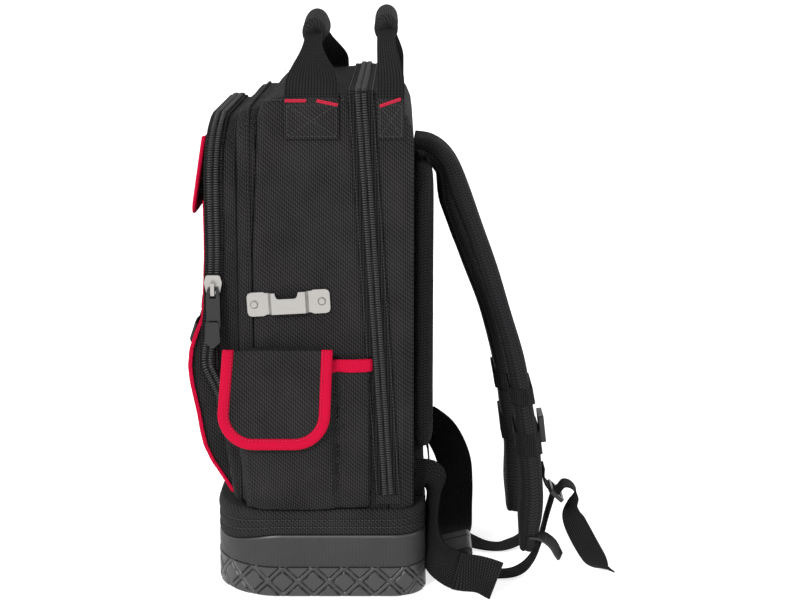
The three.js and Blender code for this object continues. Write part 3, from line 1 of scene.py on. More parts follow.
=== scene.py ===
"""Dresses the tool backpack: cloth, webbing, padding, zips, rubber base and small metal parts."""

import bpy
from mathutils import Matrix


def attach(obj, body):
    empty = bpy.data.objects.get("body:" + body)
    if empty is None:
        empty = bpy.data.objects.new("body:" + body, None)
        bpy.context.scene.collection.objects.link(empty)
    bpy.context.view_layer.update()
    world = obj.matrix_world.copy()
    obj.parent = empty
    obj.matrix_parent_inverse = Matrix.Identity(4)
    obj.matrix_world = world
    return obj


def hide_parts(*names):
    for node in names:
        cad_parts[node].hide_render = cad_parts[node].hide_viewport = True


bl_info = {
    "name": "Tool Backpack",
    "version": (1, 0, 0),
    "blender": (4, 5, 0),
    "location": "3D View > Sidebar > Backpack",
    "description": "Makes the cloth, webbing, padding, zips and rubber base of a tool backpack",
    "category": "Object",
}

import math

import bmesh
import bpy
import numpy as np
from bpy.props import FloatProperty, FloatVectorProperty, PointerProperty
from mathutils import Vector, noise

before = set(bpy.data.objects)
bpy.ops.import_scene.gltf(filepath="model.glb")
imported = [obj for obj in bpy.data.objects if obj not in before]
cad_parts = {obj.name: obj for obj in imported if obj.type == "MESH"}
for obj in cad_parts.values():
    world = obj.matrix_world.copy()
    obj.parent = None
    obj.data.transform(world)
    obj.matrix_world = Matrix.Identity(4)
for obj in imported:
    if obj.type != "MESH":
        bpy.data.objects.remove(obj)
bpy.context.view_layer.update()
MM = 0.001

# Places on the bag, in millimetres
BODY_HALF = 158.0
BODY_REAR = 91.0
BODY_TOP = 491.0
BODY_EDGE = 7.0
TRAY = {"half": 165.0, "front": -103.5, "rear": 103.5, "front_round": 66.0, "rear_round": 33.0}
TREAD_LOW = 1.6
TREAD_TOP = 31.5
BAND_DIP = 12.0
CUFF_DIP = 3.0
LIP_TOP = 64.0
BODY_FRONT = -61.0
POCKET_HALF = 142.0
POCKET_TOP = 463.0
POCKET_ROUND = 58.0
POCKET_BACK = -76.0
MIDDLE_HALF = 152.0
MIDDLE_TOP = 474.0
MIDDLE_ROUND = 34.0
STRAP_FOOT = 106.0


# Settings that a maker would change


def length(name, description, default):
    return FloatProperty(name=name, description=description, default=default * MM, min=0,
                         subtype="DISTANCE", unit="LENGTH", precision=5)


def colour(name, description, default):
    return FloatVectorProperty(name=name, description=description, default=default, min=0, max=1,
                               size=3, subtype="COLOR")


class BackpackColours(bpy.types.PropertyGroup):
    nylon: colour("Nylon", "Twill of the bag's walls", (0.0088, 0.0083, 0.0085))
    webbing: colour("Webbing", "Straps, handles and belts", (0.0058, 0.0055, 0.0057))
    mesh: colour("Mesh", "Spacer mesh of the pads", (0.011, 0.011, 0.0118))
    tape: colour("Edge tape", "Red binding and bartacks", (0.42, 0.001, 0.027))
    rubber: colour("Rubber", "Moulded base", (0.019, 0.019, 0.0202))
    plastic: colour("Plastic", "Buckles and pulls", (0.006, 0.006, 0.0065))
    steel: colour("Steel", "Tape clip and slider", (0.38, 0.368, 0.352))
    coil: colour("Coil", "Teeth of the zips", (0.01, 0.01, 0.0105))
    thread: colour("Thread", "Seams in the black cloth", (0.028, 0.028, 0.03))


class BackpackCloth(bpy.types.PropertyGroup):
    yarn: length("Yarn width", "Width of one yarn of the twill", 1.7)
    float_length: length("Yarn float", "Length that a yarn runs on top", 4.2)
    facet: length("Facet", "Longest edge of the cloth meshes", 6.5)
    crease: length("Crease depth", "Depth of the soft creases in the walls", 1.1)
    stitch: length("Stitch", "Length of one stitch", 2.6)
    stitch_gap: length("Stitch gap", "Gap between two stitches", 0.9)
    stitch_width: length("Stitch width", "Thickness of the sewing thread", 0.55)


class BackpackWebbing(bpy.types.PropertyGroup):
    thick: length("Thickness", "Thickness of all webbing", 1.8)
    narrow: length("Narrow width", "Width of the adjusters", 25)
    wide: length("Belt width", "Width of the waist belt", 38)
    rib: length("Rib", "Distance between the ribs of the weave", 2.1)


class BackpackZips(bpy.types.PropertyGroup):
    pitch: length("Tooth pitch", "Distance between two teeth", 2.3)
    tooth: length("Tooth width", "Width of one tooth along the zip", 1.35)
    half: length("Half coil", "Reach of the teeth to each side", 5.4)
    rise: length("Tooth height", "Height of the teeth over the tape", 1.1)


class BackpackBase(bpy.types.PropertyGroup):
    pitch: length("Tread pitch", "Distance between two crossings of the tread", 30.4)
    relief: length("Tread relief", "Height of the tread blocks", 1.8)
    rib: length("Rib width", "Width of the ribs that cross", 3.7)
    groove: length("Groove", "Width of the grooves beside the ribs", 1.15)


# Materials


class Finish:
    """A material whose nodes are added one step at a time."""

    def __init__(self, name, roughness, metallic=0.0, sheen=0.0, gloss=0.5):
        self.material = bpy.data.materials.new(name)
        self.material.use_nodes = True
        self.nodes = self.material.node_tree.nodes
        self.links = self.material.node_tree.links
        self.shader = self.nodes["Principled BSDF"]
        self.shader.inputs["Roughness"].default_value = roughness
        self.shader.inputs["Metallic"].default_value = metallic
        self.shader.inputs["Sheen Weight"].default_value = sheen
        self.shader.inputs["Specular IOR Level"].default_value = gloss

    def add(self, kind, *inputs, out=0, **settings):
        node = self.nodes.new(kind)
        for key, value in settings.items():
            setattr(node, key, value)
        for socket, source in zip(node.inputs, inputs):
            self.feed(socket, source)
        return node.outputs[out]

    def feed(self, socket, source):
        if isinstance(source, bpy.types.NodeSocket):
            self.links.new(source, socket)
        elif source is not None:
            socket.default_value = source

    def math(self, operation, *inputs):
        return self.add("ShaderNodeMath", *inputs, operation=operation)

    def wave(self, place, period):
        """Rounded crests, one to each period."""
        turned = self.math("SINE", self.math("MULTIPLY", place, math.pi / period))
        return self.math("ABSOLUTE", turned)

    def cloth_place(self):
        """Distances across and along the cloth, in metres."""
        place = self.add("ShaderNodeUVMap", uv_map="cloth")
        split = self.nodes.new("ShaderNodeSeparateXYZ")
        self.links.new(place, split.inputs[0])
        return split.outputs[0], split.outputs[1]

    def speckle(self, scale, detail=2.0):
        place = self.add("ShaderNodeTexCoord", out=3)
        node = self.nodes.new("ShaderNodeTexNoise")
        self.links.new(place, node.inputs["Vector"])
        node.inputs["Scale"].default_value = scale
        node.inputs["Detail"].default_value = detail
        return node.outputs[0]

    def yarns(self, across, along, width, run, step):
        """Height of yarns that lie side by side, each shifted by a step from its neighbour."""
        column = self.math("FLOOR", self.math("DIVIDE", across, width))
        ridge = self.wave(across, width)
        phase = self.math("ADD", self.math("DIVIDE", along, run), self.math("MULTIPLY", column, step))
        crown = self.math("MULTIPLY_ADD", self.wave(phase, 1.0), 0.75, 0.25)
        return self.math("MULTIPLY", ridge, crown)

    def tint(self, factor, low, high):
        node = self.nodes.new("ShaderNodeMix")
        node.data_type = "RGBA"
        self.feed(node.inputs[0], factor)
        node.inputs[6].default_value = (*low, 1)
        node.inputs[7].default_value = (*high, 1)
        self.links.new(node.outputs[2], self.shader.inputs["Base Color"])

    def bump(self, height, distance, strength=1.0):
        node = self.nodes.new("ShaderNodeBump")
        node.inputs["Strength"].default_value = strength
        node.inputs["Distance"].default_value = distance
        self.links.new(height, node.inputs["Height"])
        self.links.new(node.outputs[0], self.shader.inputs["Normal"])

    def rough(self, factor, low, high):
        spread = self.math("MULTIPLY_ADD", factor, high - low, low)
        self.links.new(spread, self.shader.inputs["Roughness"])


def shade(rgb, factor):
    return tuple(min(channel * factor, 1.0) for channel in rgb)


def woven(name, rgb, width, run, step, depth, gloss=0.09, light=2.1, dark=0.35, rough=0.66,
          turned=False):
    """Cloth of yarns with painted highlights on the crowns and painted shade between, and a slow change
    of tone over the panel.
    """
    finish = Finish(name, 0.82, gloss=gloss)
    across, along = finish.cloth_place()
    if turned:
        across, along = along, across
    yarn = finish.yarns(across, along, width, run, step)
    tone = finish.math("MULTIPLY_ADD", finish.speckle(28.0, 3.0), 0.5, -0.25)
    # The yarn's height paints a highlight on each crown and shade between the yarns into the base
    # colour.
    finish.tint(finish.math("ADD", yarn, tone), shade(rgb, dark), shade(rgb, light))
    finish.bump(yarn, depth)
    finish.rough(yarn, rough + 0.26, rough - 0.06)
    return finish.material


def spacer_mesh(name, rgb, cell, run, depth):
    """Open mesh of zigzag threads with painted highlight on the threads and painted shade in the cells
    between them.
    """
    finish = Finish(name, 0.85, gloss=0.1)
    across, along = finish.cloth_place()
    fold = finish.math("PINGPONG", across, cell)
    slanted = finish.math("ADD", along, finish.math("MULTIPLY", fold, 0.9))
    thread = finish.wave(slanted, run)
    turned = finish.math("COSINE", finish.math("MULTIPLY", across, math.pi / cell))
    rib = finish.math("ABSOLUTE", turned)
    height = finish.math("MAXIMUM", thread, finish.math("MULTIPLY", rib, 0.75))
    open_cell = finish.math("POWER", height, 2.4)
    # The cells are painted dark as the shade in their depth, and the thread tops are painted light as
    # lit.
    finish.tint(open_cell, shade(rgb, 0.2), shade(rgb, 2.0))
    finish.bump(open_cell, depth)
    return finish.material


def moulded(name, rgb, roughness, grain, depth, gloss=0.4):
    """Moulded rubber or plastic with a fine grain."""
    finish = Finish(name, roughness, gloss=gloss)
    fine = finish.speckle(grain, 4.0)
    finish.tint(fine, shade(rgb, 0.8), shade(rgb, 1.25))
    finish.bump(fine, depth)
    finish.rough(finish.speckle(60.0, 2.0), roughness - 0.08, roughness + 0.1)
    return finish.material


def brushed(name, rgb):
    """Steel with fine lines along its length and a little unevenness."""
    finish = Finish(name, 0.3, metallic=1.0)
    place = finish.add("ShaderNodeTexCoord", out=3)
    stretched = finish.add("ShaderNodeVectorMath", place, (400.0, 60.0, 2600.0), operation="MULTIPLY")
    node = finish.nodes.new("ShaderNodeTexNoise")
    finish.links.new(stretched, node.inputs["Vector"])
    node.inputs["Scale"].default_value = 1.0
    node.inputs["Detail"].default_value = 3.0
    finish.tint(node.outputs[0], shade(rgb, 0.86), shade(rgb, 1.08))
    finish.bump(node.outputs[0], 0.02 * MM)
    finish.rough(node.outputs[0], 0.24, 0.42)
    return finish.material


def sewing(name, rgb):
    """Twisted sewing thread with a soft shine."""
    finish = Finish(name, 0.6, sheen=0.05, gloss=0.3)
    twist = finish.speckle(900.0, 1.0)
    finish.tint(twist, shade(rgb, 0.75), shade(rgb, 1.3))
    finish.bump(twist, 0.1 * MM)
    return finish.material


made = {}


def material(key):
    """The bag's materials, each made once from the settings."""
    if key not in made:
        tones = bpy.context.scene.backpack_colours
        cloth = bpy.context.scene.backpack_cloth
        rib = bpy.context.scene.backpack_webbing.rib
        # For the woven finishes, light and dark scale the painted highlight on the yarn crowns and the
        # painted shade between the yarns.
        makers = {
            "nylon": lambda: woven("ballistic nylon", tones.nylon, cloth.yarn, cloth.float_length,
                                   1 / 3, 0.6 * MM, light=3.6, dark=0.05),
            "webbing": lambda: woven("ribbed webbing", tones.webbing, rib, 1.1 * rib, 0.5, 0.6 * MM,
                                     light=2.6, dark=0.1),
            "rib": lambda: woven("ladder webbing", tones.webbing, 1.35 * rib, 1.3 * rib, 0.0,
                                 0.7 * MM, light=2.6),
            "cross_rib": lambda: woven("cross ribs", tones.webbing, 2.6 * MM, 3.2 * MM, 0.5,
                                       0.5 * MM, light=2.4, turned=True),
            "tape": lambda: woven("red edge tape", tones.tape, 1.5 * MM, 1.2 * MM, 0.5, 0.3 * MM,
                                  light=1.2, dark=0.75),
            "mesh": lambda: spacer_mesh("spacer mesh", tones.mesh, 3.2 * MM, 3.0 * MM, 0.9 * MM),
            "rubber": lambda: moulded("base rubber", tones.rubber, 0.42, 1400.0, 0.12 * MM, 0.55),
            "grained": lambda: woven("grained rubber", tones.rubber, 1.5 * MM, 2.2 * MM, 0.5,
                                     0.22 * MM, gloss=0.35, light=1.6, dark=0.45, rough=0.46),
            "plastic": lambda: moulded("black plastic", tones.plastic, 0.34, 900.0, 0.05 * MM),
            "steel": lambda: brushed("brushed steel", tones.steel),
            "coil": lambda: moulded("zip coil", tones.coil, 0.42, 700.0, 0.03 * MM),
            "thread": lambda: sewing("black thread", tones.thread),
            "red_thread": lambda: sewing("red thread", tones.tape),
        }
        made[key] = makers[key]()
    return made[key]


# Shapes


def add_piece(name, mesh, finish, replaces=(), body="bag", crease_angle=None):
    piece = bpy.data.objects.new(name, mesh)
    bpy.context.scene.collection.objects.link(piece)
    for key in [finish] if isinstance(finish, str) else finish:
        mesh.materials.append(material(key))
    mesh.shade_smooth()
    if crease_angle:
        mesh.set_sharp_from_angle(angle=math.radians(crease_angle))
    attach(piece, body)
    if replaces:
        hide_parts(*replaces)
    return piece


def curve_through(rows, steps):
    """Rows filled in between with a smooth curve through every column."""
    rows = np.array(rows, float)
    last = len(rows) - 1
    filled = []
    for i in range(last):
        a, b, c, d = rows[max(i - 1, 0)], rows[i], rows[i + 1], rows[min(i + 2, last)]
        for k in range(steps):
            t = k / steps
            cubic = (3 * (b - c) + d - a) * t**3 + (2 * a - 5 * b + 4 * c - d) * t * t
            filled.append(b + 0.5 * (cubic + (c - a) * t))
    filled.append(rows[last])
    return np.array(filled)


def tangent_at(points, i):
    """Direction of a path at one of its points."""
    tangent = points[min(i + 1, len(points) - 1)] - points[max(i - 1, 0)]
    return tangent / np.linalg.norm(tangent)


def square_to(direction, tangent):
    """The part of a direction that stands square to a path."""
    side = direction - tangent * np.dot(direction, tangent)
    return side / np.linalg.norm(side)


def closed_mesh(name, coords, faces):
    """Mesh with all its faces turned outward."""
    mesh = bpy.data.meshes.new(name)
    mesh.from_pydata([tuple(co) for co in coords], [], faces)
    bm = bmesh.new()
    bm.from_mesh(mesh)
    bmesh.ops.recalc_face_normals(bm, faces=bm.faces)
    bm.to_mesh(mesh)
    bm.free()
    return mesh


def mesh_of(name, coords, faces, places, slots=None):
    """Closed mesh with a cloth coordinate for each corner of its faces."""
    mesh = closed_mesh(name, coords, faces)
    layer = mesh.uv_layers.new(name="cloth")
    for polygon, place in zip(mesh.polygons, places):
        for loop in polygon.loop_indices:
            layer.data[loop].uv = place[mesh.loops[loop].vertex_index]
    if slots is not None:
        mesh.polygons.foreach_set("material_index", slots)
    return mesh


def loft(name, loops, across=None, slot_of=None, ring=False):
    """Closed skin through loops of equally many points, given in millimetres.

    The cloth runs around and along it. For webbing, across holds each loop point's place over the
    width. A ring joins its last loop to its first, and needs no ends.
    """
    loops = np.array(loops, float) * MM
    rows, count = loops.shape[:2]
    run = np.zeros(rows)
    middles = loops.mean(axis=1)
    run[1:] = np.cumsum(np.linalg.norm(np.diff(middles, axis=0), axis=1))
    steps = np.linalg.norm(np.roll(loops, -1, axis=1) - loops, axis=2).mean(axis=0)
    around = np.concatenate([[0], np.cumsum(steps)])
    if across is not None:
        around = np.concatenate([np.array(across), [across[0]]]) * MM
    faces, places, slots = [], [], []
    spans = rows if ring else rows - 1
    run = np.append(run, run[-1] + 4 * MM)
    for i in range(spans):
        after = (i + 1) % rows
        for j in range(count):
            k = (j + 1) % count
            corners = (i * count + j, i * count + k, after * count + k, after * count + j)
            faces.append(corners)
            left, right = around[j], around[j + 1]
            spots = ((left, run[i]), (right, run[i]), (right, run[i + 1]), (left, run[i + 1]))
            places.append(dict(zip(corners, spots)))
            slots.append(slot_of(i, j) if slot_of else 0)
    for i in () if ring else (0, rows - 1):
        end = [i * count + j for j in range(count)]
        faces.append(end)
        places.append({index: (around[j], run[i]) for j, index in enumerate(end)})
        slots.append(0)
    return mesh_of(name, loops.reshape(-1, 3), faces, places, slots)


def box_places(mesh, turned=False):
    """Cloth coordinates taken straight from the bag's frame, by the side that a face looks to."""
    layer = mesh.uv_layers.get("cloth") or mesh.uv_layers.new(name="cloth")
    axes = {0: (1, 2), 1: (0, 2), 2: (0, 1)}
    for polygon in mesh.polygons:
        normal = [abs(value) for value in polygon.normal]
        first, second = axes[normal.index(max(normal))]
        if turned:
            first, second = second, first
        for loop in polygon.loop_indices:
            co = mesh.vertices[mesh.loops[loop].vertex_index].co
            layer.data[loop].uv = (co[first], co[second])


def dense_copy(node, name, facet, relax):
    """A fine mesh of a piece, its edges softened as cloth softens them."""
    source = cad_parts[node].data
    bm = bmesh.new()
    verts = [bm.verts.new(vertex.co) for vertex in source.vertices]
    for polygon in source.polygons:
        bm.faces.new([verts[index] for index in polygon.vertices])
    bmesh.ops.remove_doubles(bm, verts=bm.verts, dist=0.002 * MM)
    for _ in range(10):
        long_edges = [edge for edge in bm.edges if edge.calc_length() > facet]
        if not long_edges:
            break
        bmesh.ops.subdivide_edges(bm, edges=long_edges, cuts=1)
        bmesh.ops.triangulate(bm, faces=bm.faces)
    for _ in range(relax):
        bmesh.ops.smooth_vert(bm, verts=bm.verts, factor=0.5, use_axis_x=True, use_axis_y=True,
                              use_axis_z=True)
    mesh = bpy.data.meshes.new(name)
    bmesh.ops.recalc_face_normals(bm, faces=bm.faces)
    bm.to_mesh(mesh)
    bm.free()
    return mesh


def crease_inward(mesh, depth, size, seed, stretch=(1.0, 1.0, 1.0)):
    """Soft hollows over the cloth, never outward, that take both faces of a wall along."""
    mesh.update()
    normals = [vertex.normal.copy() for vertex in mesh.vertices]
    corners = np.array([vertex.co[:] for vertex in mesh.vertices])
    middle = Vector((corners.min(axis=0) + corners.max(axis=0)) / 2)
    offset = Vector((seed, seed * 1.7, seed * 0.6))
    for vertex, normal in zip(mesh.vertices, normals):
        co = Vector([value * share for value, share in zip(vertex.co, stretch)])
        broad = noise.noise(co / size + offset)
        fine = noise.noise(co / (size * 0.28) - offset)
        inward = depth * (0.5 + 0.42 * broad + 0.16 * fine)
        if normal.dot(vertex.co - middle) < 0:
            inward = -inward
        vertex.co -= normal * inward


def cloth_piece(node, finish, facet=1.0, relax=2, crease=1.0, size=55.0, seed=1.0, stretch=(1, 1, 1),
                turned=False):
    """Cloth over a solid of the same shape, which it replaces."""
    cloth = bpy.context.scene.backpack_cloth
    mesh = dense_copy(node, f"{node}_cloth", cloth.facet * facet, relax)
    if crease:
        crease_inward(mesh, cloth.crease * crease, size * MM, seed, stretch)
    box_places(mesh, turned)
    return add_piece(f"{node}_cloth", mesh, finish, replaces=[node])


def hard_piece(node, finish, width=0.35, angle=30):
    """A moulded or pressed piece: the solid itself, with its edges rounded."""
    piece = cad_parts[node]
    piece.data.materials.clear()
    piece.data.materials.append(material(finish))
    piece.data.shade_smooth()
    bevel = piece.modifiers.new("rounded edges", "BEVEL")
    bevel.width = width * MM
    bevel.segments = 2
    bevel.limit_method = "ANGLE"
    bevel.angle_limit = math.radians(angle)
    bevel.harden_normals = True
    return piece


def beads(name, ends, normals, width, height, finish, body="bag", sides=4):
    """Many small rounded bars in one mesh, for stitches and zip teeth. Ends are in millimetres."""
    ends = np.array(ends, float) * MM
    normals = np.array(normals, float)
    start, stop = ends[:, 0], ends[:, 1]
    along = stop - start
    normals = normals / np.linalg.norm(normals, axis=1, keepdims=True)
    across = np.cross(along, normals)
    across /= np.linalg.norm(across, axis=1, keepdims=True)
    rings = []
    for share, size in ((0.0, 0.45), (0.22, 1.0), (0.78, 1.0), (1.0, 0.45)):
        centre = start + along * share
        for k in range(sides):
            angle = 2 * math.pi * (k + 0.5) / sides
            rings.append(centre + across * (0.5 * width * MM * size * math.cos(angle) * 1.4)
                         + normals * (0.5 * height * MM * size * math.sin(angle) * 1.4))
    coords = np.stack(rings, axis=1).reshape(-1, 3)
    block = []
    for ring in range(3):
        for k in range(sides):
            nxt = (k + 1) % sides
            low, high = ring * sides, (ring + 1) * sides
            block.append((low + k, low + nxt, high + nxt, high + k))
    block.append(tuple(range(sides)))
    block.append(tuple(range(4 * sides - 1, 3 * sides - 1, -1)))
    per = 4 * sides
    faces = [tuple(index + i * per for index in face) for i in range(len(ends)) for face in block]
    return add_piece(name, closed_mesh(name, coords, faces), finish, body=body)


def spaced(path, pitch):
    """Places along a path at equal distances, each with the index of the segment it falls in."""
    path = np.array(path, float)
    lengths = np.concatenate([[0], np.cumsum(np.linalg.norm(np.diff(path, axis=0), axis=1))])
    spots = np.arange(pitch / 2, lengths[-1], pitch)
    index = np.clip(np.searchsorted(lengths, spots, side="right") - 1, 0, len(path) - 2)
    share = (spots - lengths[index]) / np.maximum(lengths[index + 1] - lengths[index], 1e-9)
    return path[index] + (path[index + 1] - path[index]) * share[:, None], index


class Seams:
    """Stitches collected from many seams and made as one mesh."""

    def __init__(self, name, finish):
        self.name = name
        self.finish = finish
        self.ends = []
        self.normals = []

    def sew(self, path, normal, lift=0.2, length=None, gap=None):
        cloth = bpy.context.scene.backpack_cloth
        stitch = length or cloth.stitch / MM
        pitch = stitch + (gap or cloth.stitch_gap / MM)
        path = np.array(path, float)
        normals = np.broadcast_to(np.array(normal, float), path.shape)
        places, index = spaced(path, pitch)
        for place, i in zip(places, index):
            along = path[i + 1] - path[i]
            along = along / max(np.linalg.norm(along), 1e-9)
            up = normals[i]
            middle = place + up * lift
            self.ends.append((middle - along * stitch / 2, middle + along * stitch / 2))
            self.normals.append(up)

    def tack(self, start, stop, normal, width=3.0, lift=0.4):
        """Bartack: threads side by side across a short line."""
        start, stop, normal = (np.array(value, float) for value in (start, stop, normal))
        along = stop - start
        count = max(int(np.linalg.norm(along) / 0.55), 2)
        across = np.cross(normal, along)
        across = across / np.linalg.norm(across) * width / 2
        for k in range(count):
            middle = start + along * (k + 0.5) / count + normal * lift
            lean = along / count * 0.5
            self.ends.append((middle - across - lean, middle + across + lean))
            self.normals.append(normal)

    def make(self, body="bag", width=None):
        thread = width or bpy.context.scene.backpack_cloth.stitch_width / MM
        return beads(self.name, self.ends, self.normals, thread, thread, self.finish, body=body)


def band_section(width, thick):
    """Outline of flat webbing with rounded edges, each point's place over the width first."""
    half, round_off = width / 2, thick / 2
    flat = np.linspace(-half + round_off, half - round_off, 9)
    edge = [math.radians(angle) for angle in (-60, -20, 20, 60)]
    points = [(u, -round_off) for u in flat]
    points += [(half - round_off + round_off * math.cos(a), round_off * math.sin(a)) for a in edge]
    points += [(u, round_off) for u in flat[::-1]]
    points += [(-half + round_off - round_off * math.cos(a), -round_off * math.sin(a)) for a in edge]
    return np.array(points)


def band_loops(rows, width, thick, bow=0.0):
    """Webbing swept through rows of a middle and the direction of its width."""
    path = curve_through(rows, 8)
    middles = path[:, :3]
    section = band_section(width, thick)
    loops = []
    for i, row in enumerate(path):
        tangent = tangent_at(middles, i)
        side = square_to(row[3:6], tangent)
        normal = np.cross(tangent, side)
        lift = bow * (1 - (2 * section[:, 0] / width) ** 2)
        loops.append(middles[i] + section[:, :1] * side + (section[:, 1:] + lift[:, None]) * normal)
    return loops, section[:, 0]


def webbing_piece(node, rows, width, finish="webbing", bow=0.0):
    thick = bpy.context.scene.backpack_webbing.thick / MM
    loops, across = band_loops(rows, width, thick, bow)
    mesh = loft(f"{node}_web", loops, across)
    return add_piece(f"{node}_web", mesh, finish, replaces=[node], crease_angle=50)


# Main compartment and the cuff


def zip_line_y(z):
    """The main zip leans to the rear toward its lower end."""
    return 42 + 31 * (BODY_TOP - z) / BODY_TOP


def make_main_compartment():
    cloth_piece("body_front", "nylon", facet=1.9, relax=0, seed=2.0, size=70, stretch=(1, 1, 0.45))
    cloth_piece("body_back", "nylon", facet=2.2, relax=0, crease=0)
    cloth_piece("mid_compartment", "nylon", facet=1.7, relax=0, seed=3.0, size=50, crease=0.7)
    for side in ("near", "far"):
        cloth_piece(f"zip_end_{side}", "nylon", facet=0.4, relax=0, crease=0)
    make_piping()
    make_cuff()


def body_distance(points, normals):
    """How far the main compartment is from each place on the base's outline, straight inward."""
    reach = np.arange(0, 70, 0.25)
    x = np.abs(points[:, :1] - normals[:, :1] * reach)
    y = points[:, 1:] - normals[:, 1:] * reach
    inside = (x <= BODY_HALF + 0.3) & (y >= BODY_FRONT - 0.3) & (y <= BODY_REAR + 0.3)
    return np.maximum(reach[np.argmax(inside, axis=1)], 5.0)


CUFF_HEIGHT = 25.7
CUFF_MOUTH = 12.4
CUFF_SHELF = 87.6
CUFF_WALL = 1.6
CUFF_GROOVES = (7.5, 14.9)

# Profile of the cuff: how far in from the base's outline, and the height over the lip
CUFF_PROFILE = [
    (2.4, 0.0), (1.1, 0.5), (0.6, 2.2), (0.5, 4.6), (0.9, 6.6), (2.1, 7.5), (1.0, 8.4), (0.4, 10.4),
    (0.5, 12.6), (1.0, 14.0), (2.2, 14.9), (1.1, 15.8), (0.2, 17.6), (0.0, 19.8), (0.4, 21.8),
    (1.3, 23.5), (2.6, 24.8), (3.8, 25.5),
]


def make_cuff():
    """Rolled skirt over the base, with two sewn ridges, that turns in under the pockets."""
    points, normals = tray_outline(2.2)
    dips = front_share(points[:, 1])
    limit = body_distance(points, normals) - 0.4
    mouth = np.minimum(CUFF_MOUTH, limit - 1.2)

    def row(inset, rise, pucker=0.0):
        dip = BAND_DIP + (CUFF_DIP - BAND_DIP) * rise / CUFF_HEIGHT
        z = LIP_TOP + 0.3 + rise - dip * dips
        inset = np.broadcast_to(inset, z.shape).astype(float)
        for i, (x, y) in enumerate(points):
            fold = noise.noise(Vector((x / 9, y / 9, rise / 30)))
            broad = noise.noise(Vector((x / 34, y / 34, rise / 18 + 4)))
            inset[i] += pucker * (0.35 + 0.45 * fold + 0.5 * broad)
        return np.column_stack([points - normals * inset[:, None], z])

    rim = 25.0
    loops = [row(inset, rise, 0.2 + 0.7 * rise / CUFF_HEIGHT) for inset, rise in CUFF_PROFILE]
    loops.append(row(mouth, rim))
    for share in (0.3, 0.65, 1.0):
        loop = row(mouth + (limit - mouth) * share, rim)
        loop[:, 2] = loop[:, 2] + (np.maximum(CUFF_SHELF, loop[:, 2]) - loop[:, 2]) * share
        loops.append(loop)
    loops += [row(limit, rim - CUFF_WALL), row(mouth, rim - CUFF_WALL)]
    loops += [row(4.2, 21.5), row(3.9, 12.0), row(3.9, 0.0)]
    mesh = loft("base_cuff_cloth", loops, ring=True)
    add_piece("base_cuff_cloth", mesh, "nylon", replaces=["base_cuff"])
    seams = Seams("cuff_seams", "thread")
    outward = np.column_stack([normals, np.zeros(len(normals))])
    for groove in CUFF_GROOVES:
        line = row(1.75, groove)
        seams.sew(np.vstack([line, line[:1]]), np.vstack([outward, outward[:1]]))
    seams.make()


def arch_line(half, top, radius, y, low=92, steps=12):
    """Line up the near side, over the top and down the far side at one depth."""
    side = [(half, y, z) for z in np.linspace(low, top - radius, 40)]
    for k in range(1, steps + 1):
        angle = math.pi / 2 * k / steps
        reach, rise = radius * math.cos(angle), radius * math.sin(angle)
        side.append((half - radius + reach, y, top - radius + rise))
    side += [(x, y, top) for x in np.linspace(half - radius, 0, 20)[1:]]
    return np.array(side + [(-x, y, z) for x, y, z in side[-2::-1]])


def tube(name, path, radius, finish, sides=8):
    """Round cord of cloth along a path that is given in millimetres."""
    loops = []
    for i, place in enumerate(path):
        tangent = tangent_at(path, i)
        side = np.cross(tangent, (0.0, 1.0, 0.0))
        side /= np.linalg.norm(side)
        other = np.cross(tangent, side)
        loops.append([place + radius * (math.cos(a) * side + math.sin(a) * other)
                      for a in np.linspace(0, 2 * math.pi, sides, endpoint=False)])
    return add_piece(name, loft(name, loops), finish)


def make_piping():
    """Sewn piping where the compartments meet."""
    sunk = 0.4
    middle = arch_line(MIDDLE_HALF - sunk, MIDDLE_TOP, MIDDLE_ROUND, BODY_FRONT - 1.6)
    pocket = arch_line(POCKET_HALF - sunk, POCKET_TOP, POCKET_ROUND, POCKET_BACK - 0.8)
    tube("middle_piping", middle, 1.7, "nylon")
    tube("pocket_piping", pocket, 1.5, "nylon")


# Zips


def main_zip_path(offset, out):
    """Line on the bag's side, over its top and down the other side, beside the zip's middle."""
    points, normals = [], []
    edge = BODY_EDGE + out
    corner = 12
    for z in np.linspace(104, BODY_TOP - BODY_EDGE, 40):
        points.append((BODY_HALF + out, zip_line_y(z) + offset, z))
        normals.append((1, 0, 0))
    for k in range(1, corner):
        angle = math.pi / 2 * k / corner
        z = BODY_TOP - BODY_EDGE + edge * math.sin(angle)
        x = BODY_HALF - BODY_EDGE + edge * math.cos(angle)
        points.append((x, zip_line_y(z) + offset, z))
        normals.append((math.cos(angle), 0, math.sin(angle)))
    for x in np.linspace(BODY_HALF - BODY_EDGE, 0, 20):
        points.append((x, zip_line_y(BODY_TOP) + offset, BODY_TOP + out))
        normals.append((0, 0, 1))
    points += [(-x, y, z) for x, y, z in points[-2::-1]]
    normals += [(-x, y, z) for x, y, z in normals[-2::-1]]
    return np.array(points), np.array(normals)


def pocket_arch(out, steps=14):
    """Outline of the front pocket from its near foot over the top to the far foot."""
    points = [(POCKET_HALF + out, z) for z in np.linspace(197, POCKET_TOP - POCKET_ROUND, 30)]
    for k in range(1, steps + 1):
        angle = math.pi / 2 * k / steps
        reach = POCKET_ROUND + out
        points.append((POCKET_HALF - POCKET_ROUND + reach * math.cos(angle),
                       POCKET_TOP - POCKET_ROUND + reach * math.sin(angle)))
    points += [(x, POCKET_TOP + out) for x in np.linspace(POCKET_HALF - POCKET_ROUND, 0, 12)[1:]]
    return points + [(-x, z) for x, z in points[-2::-1]]


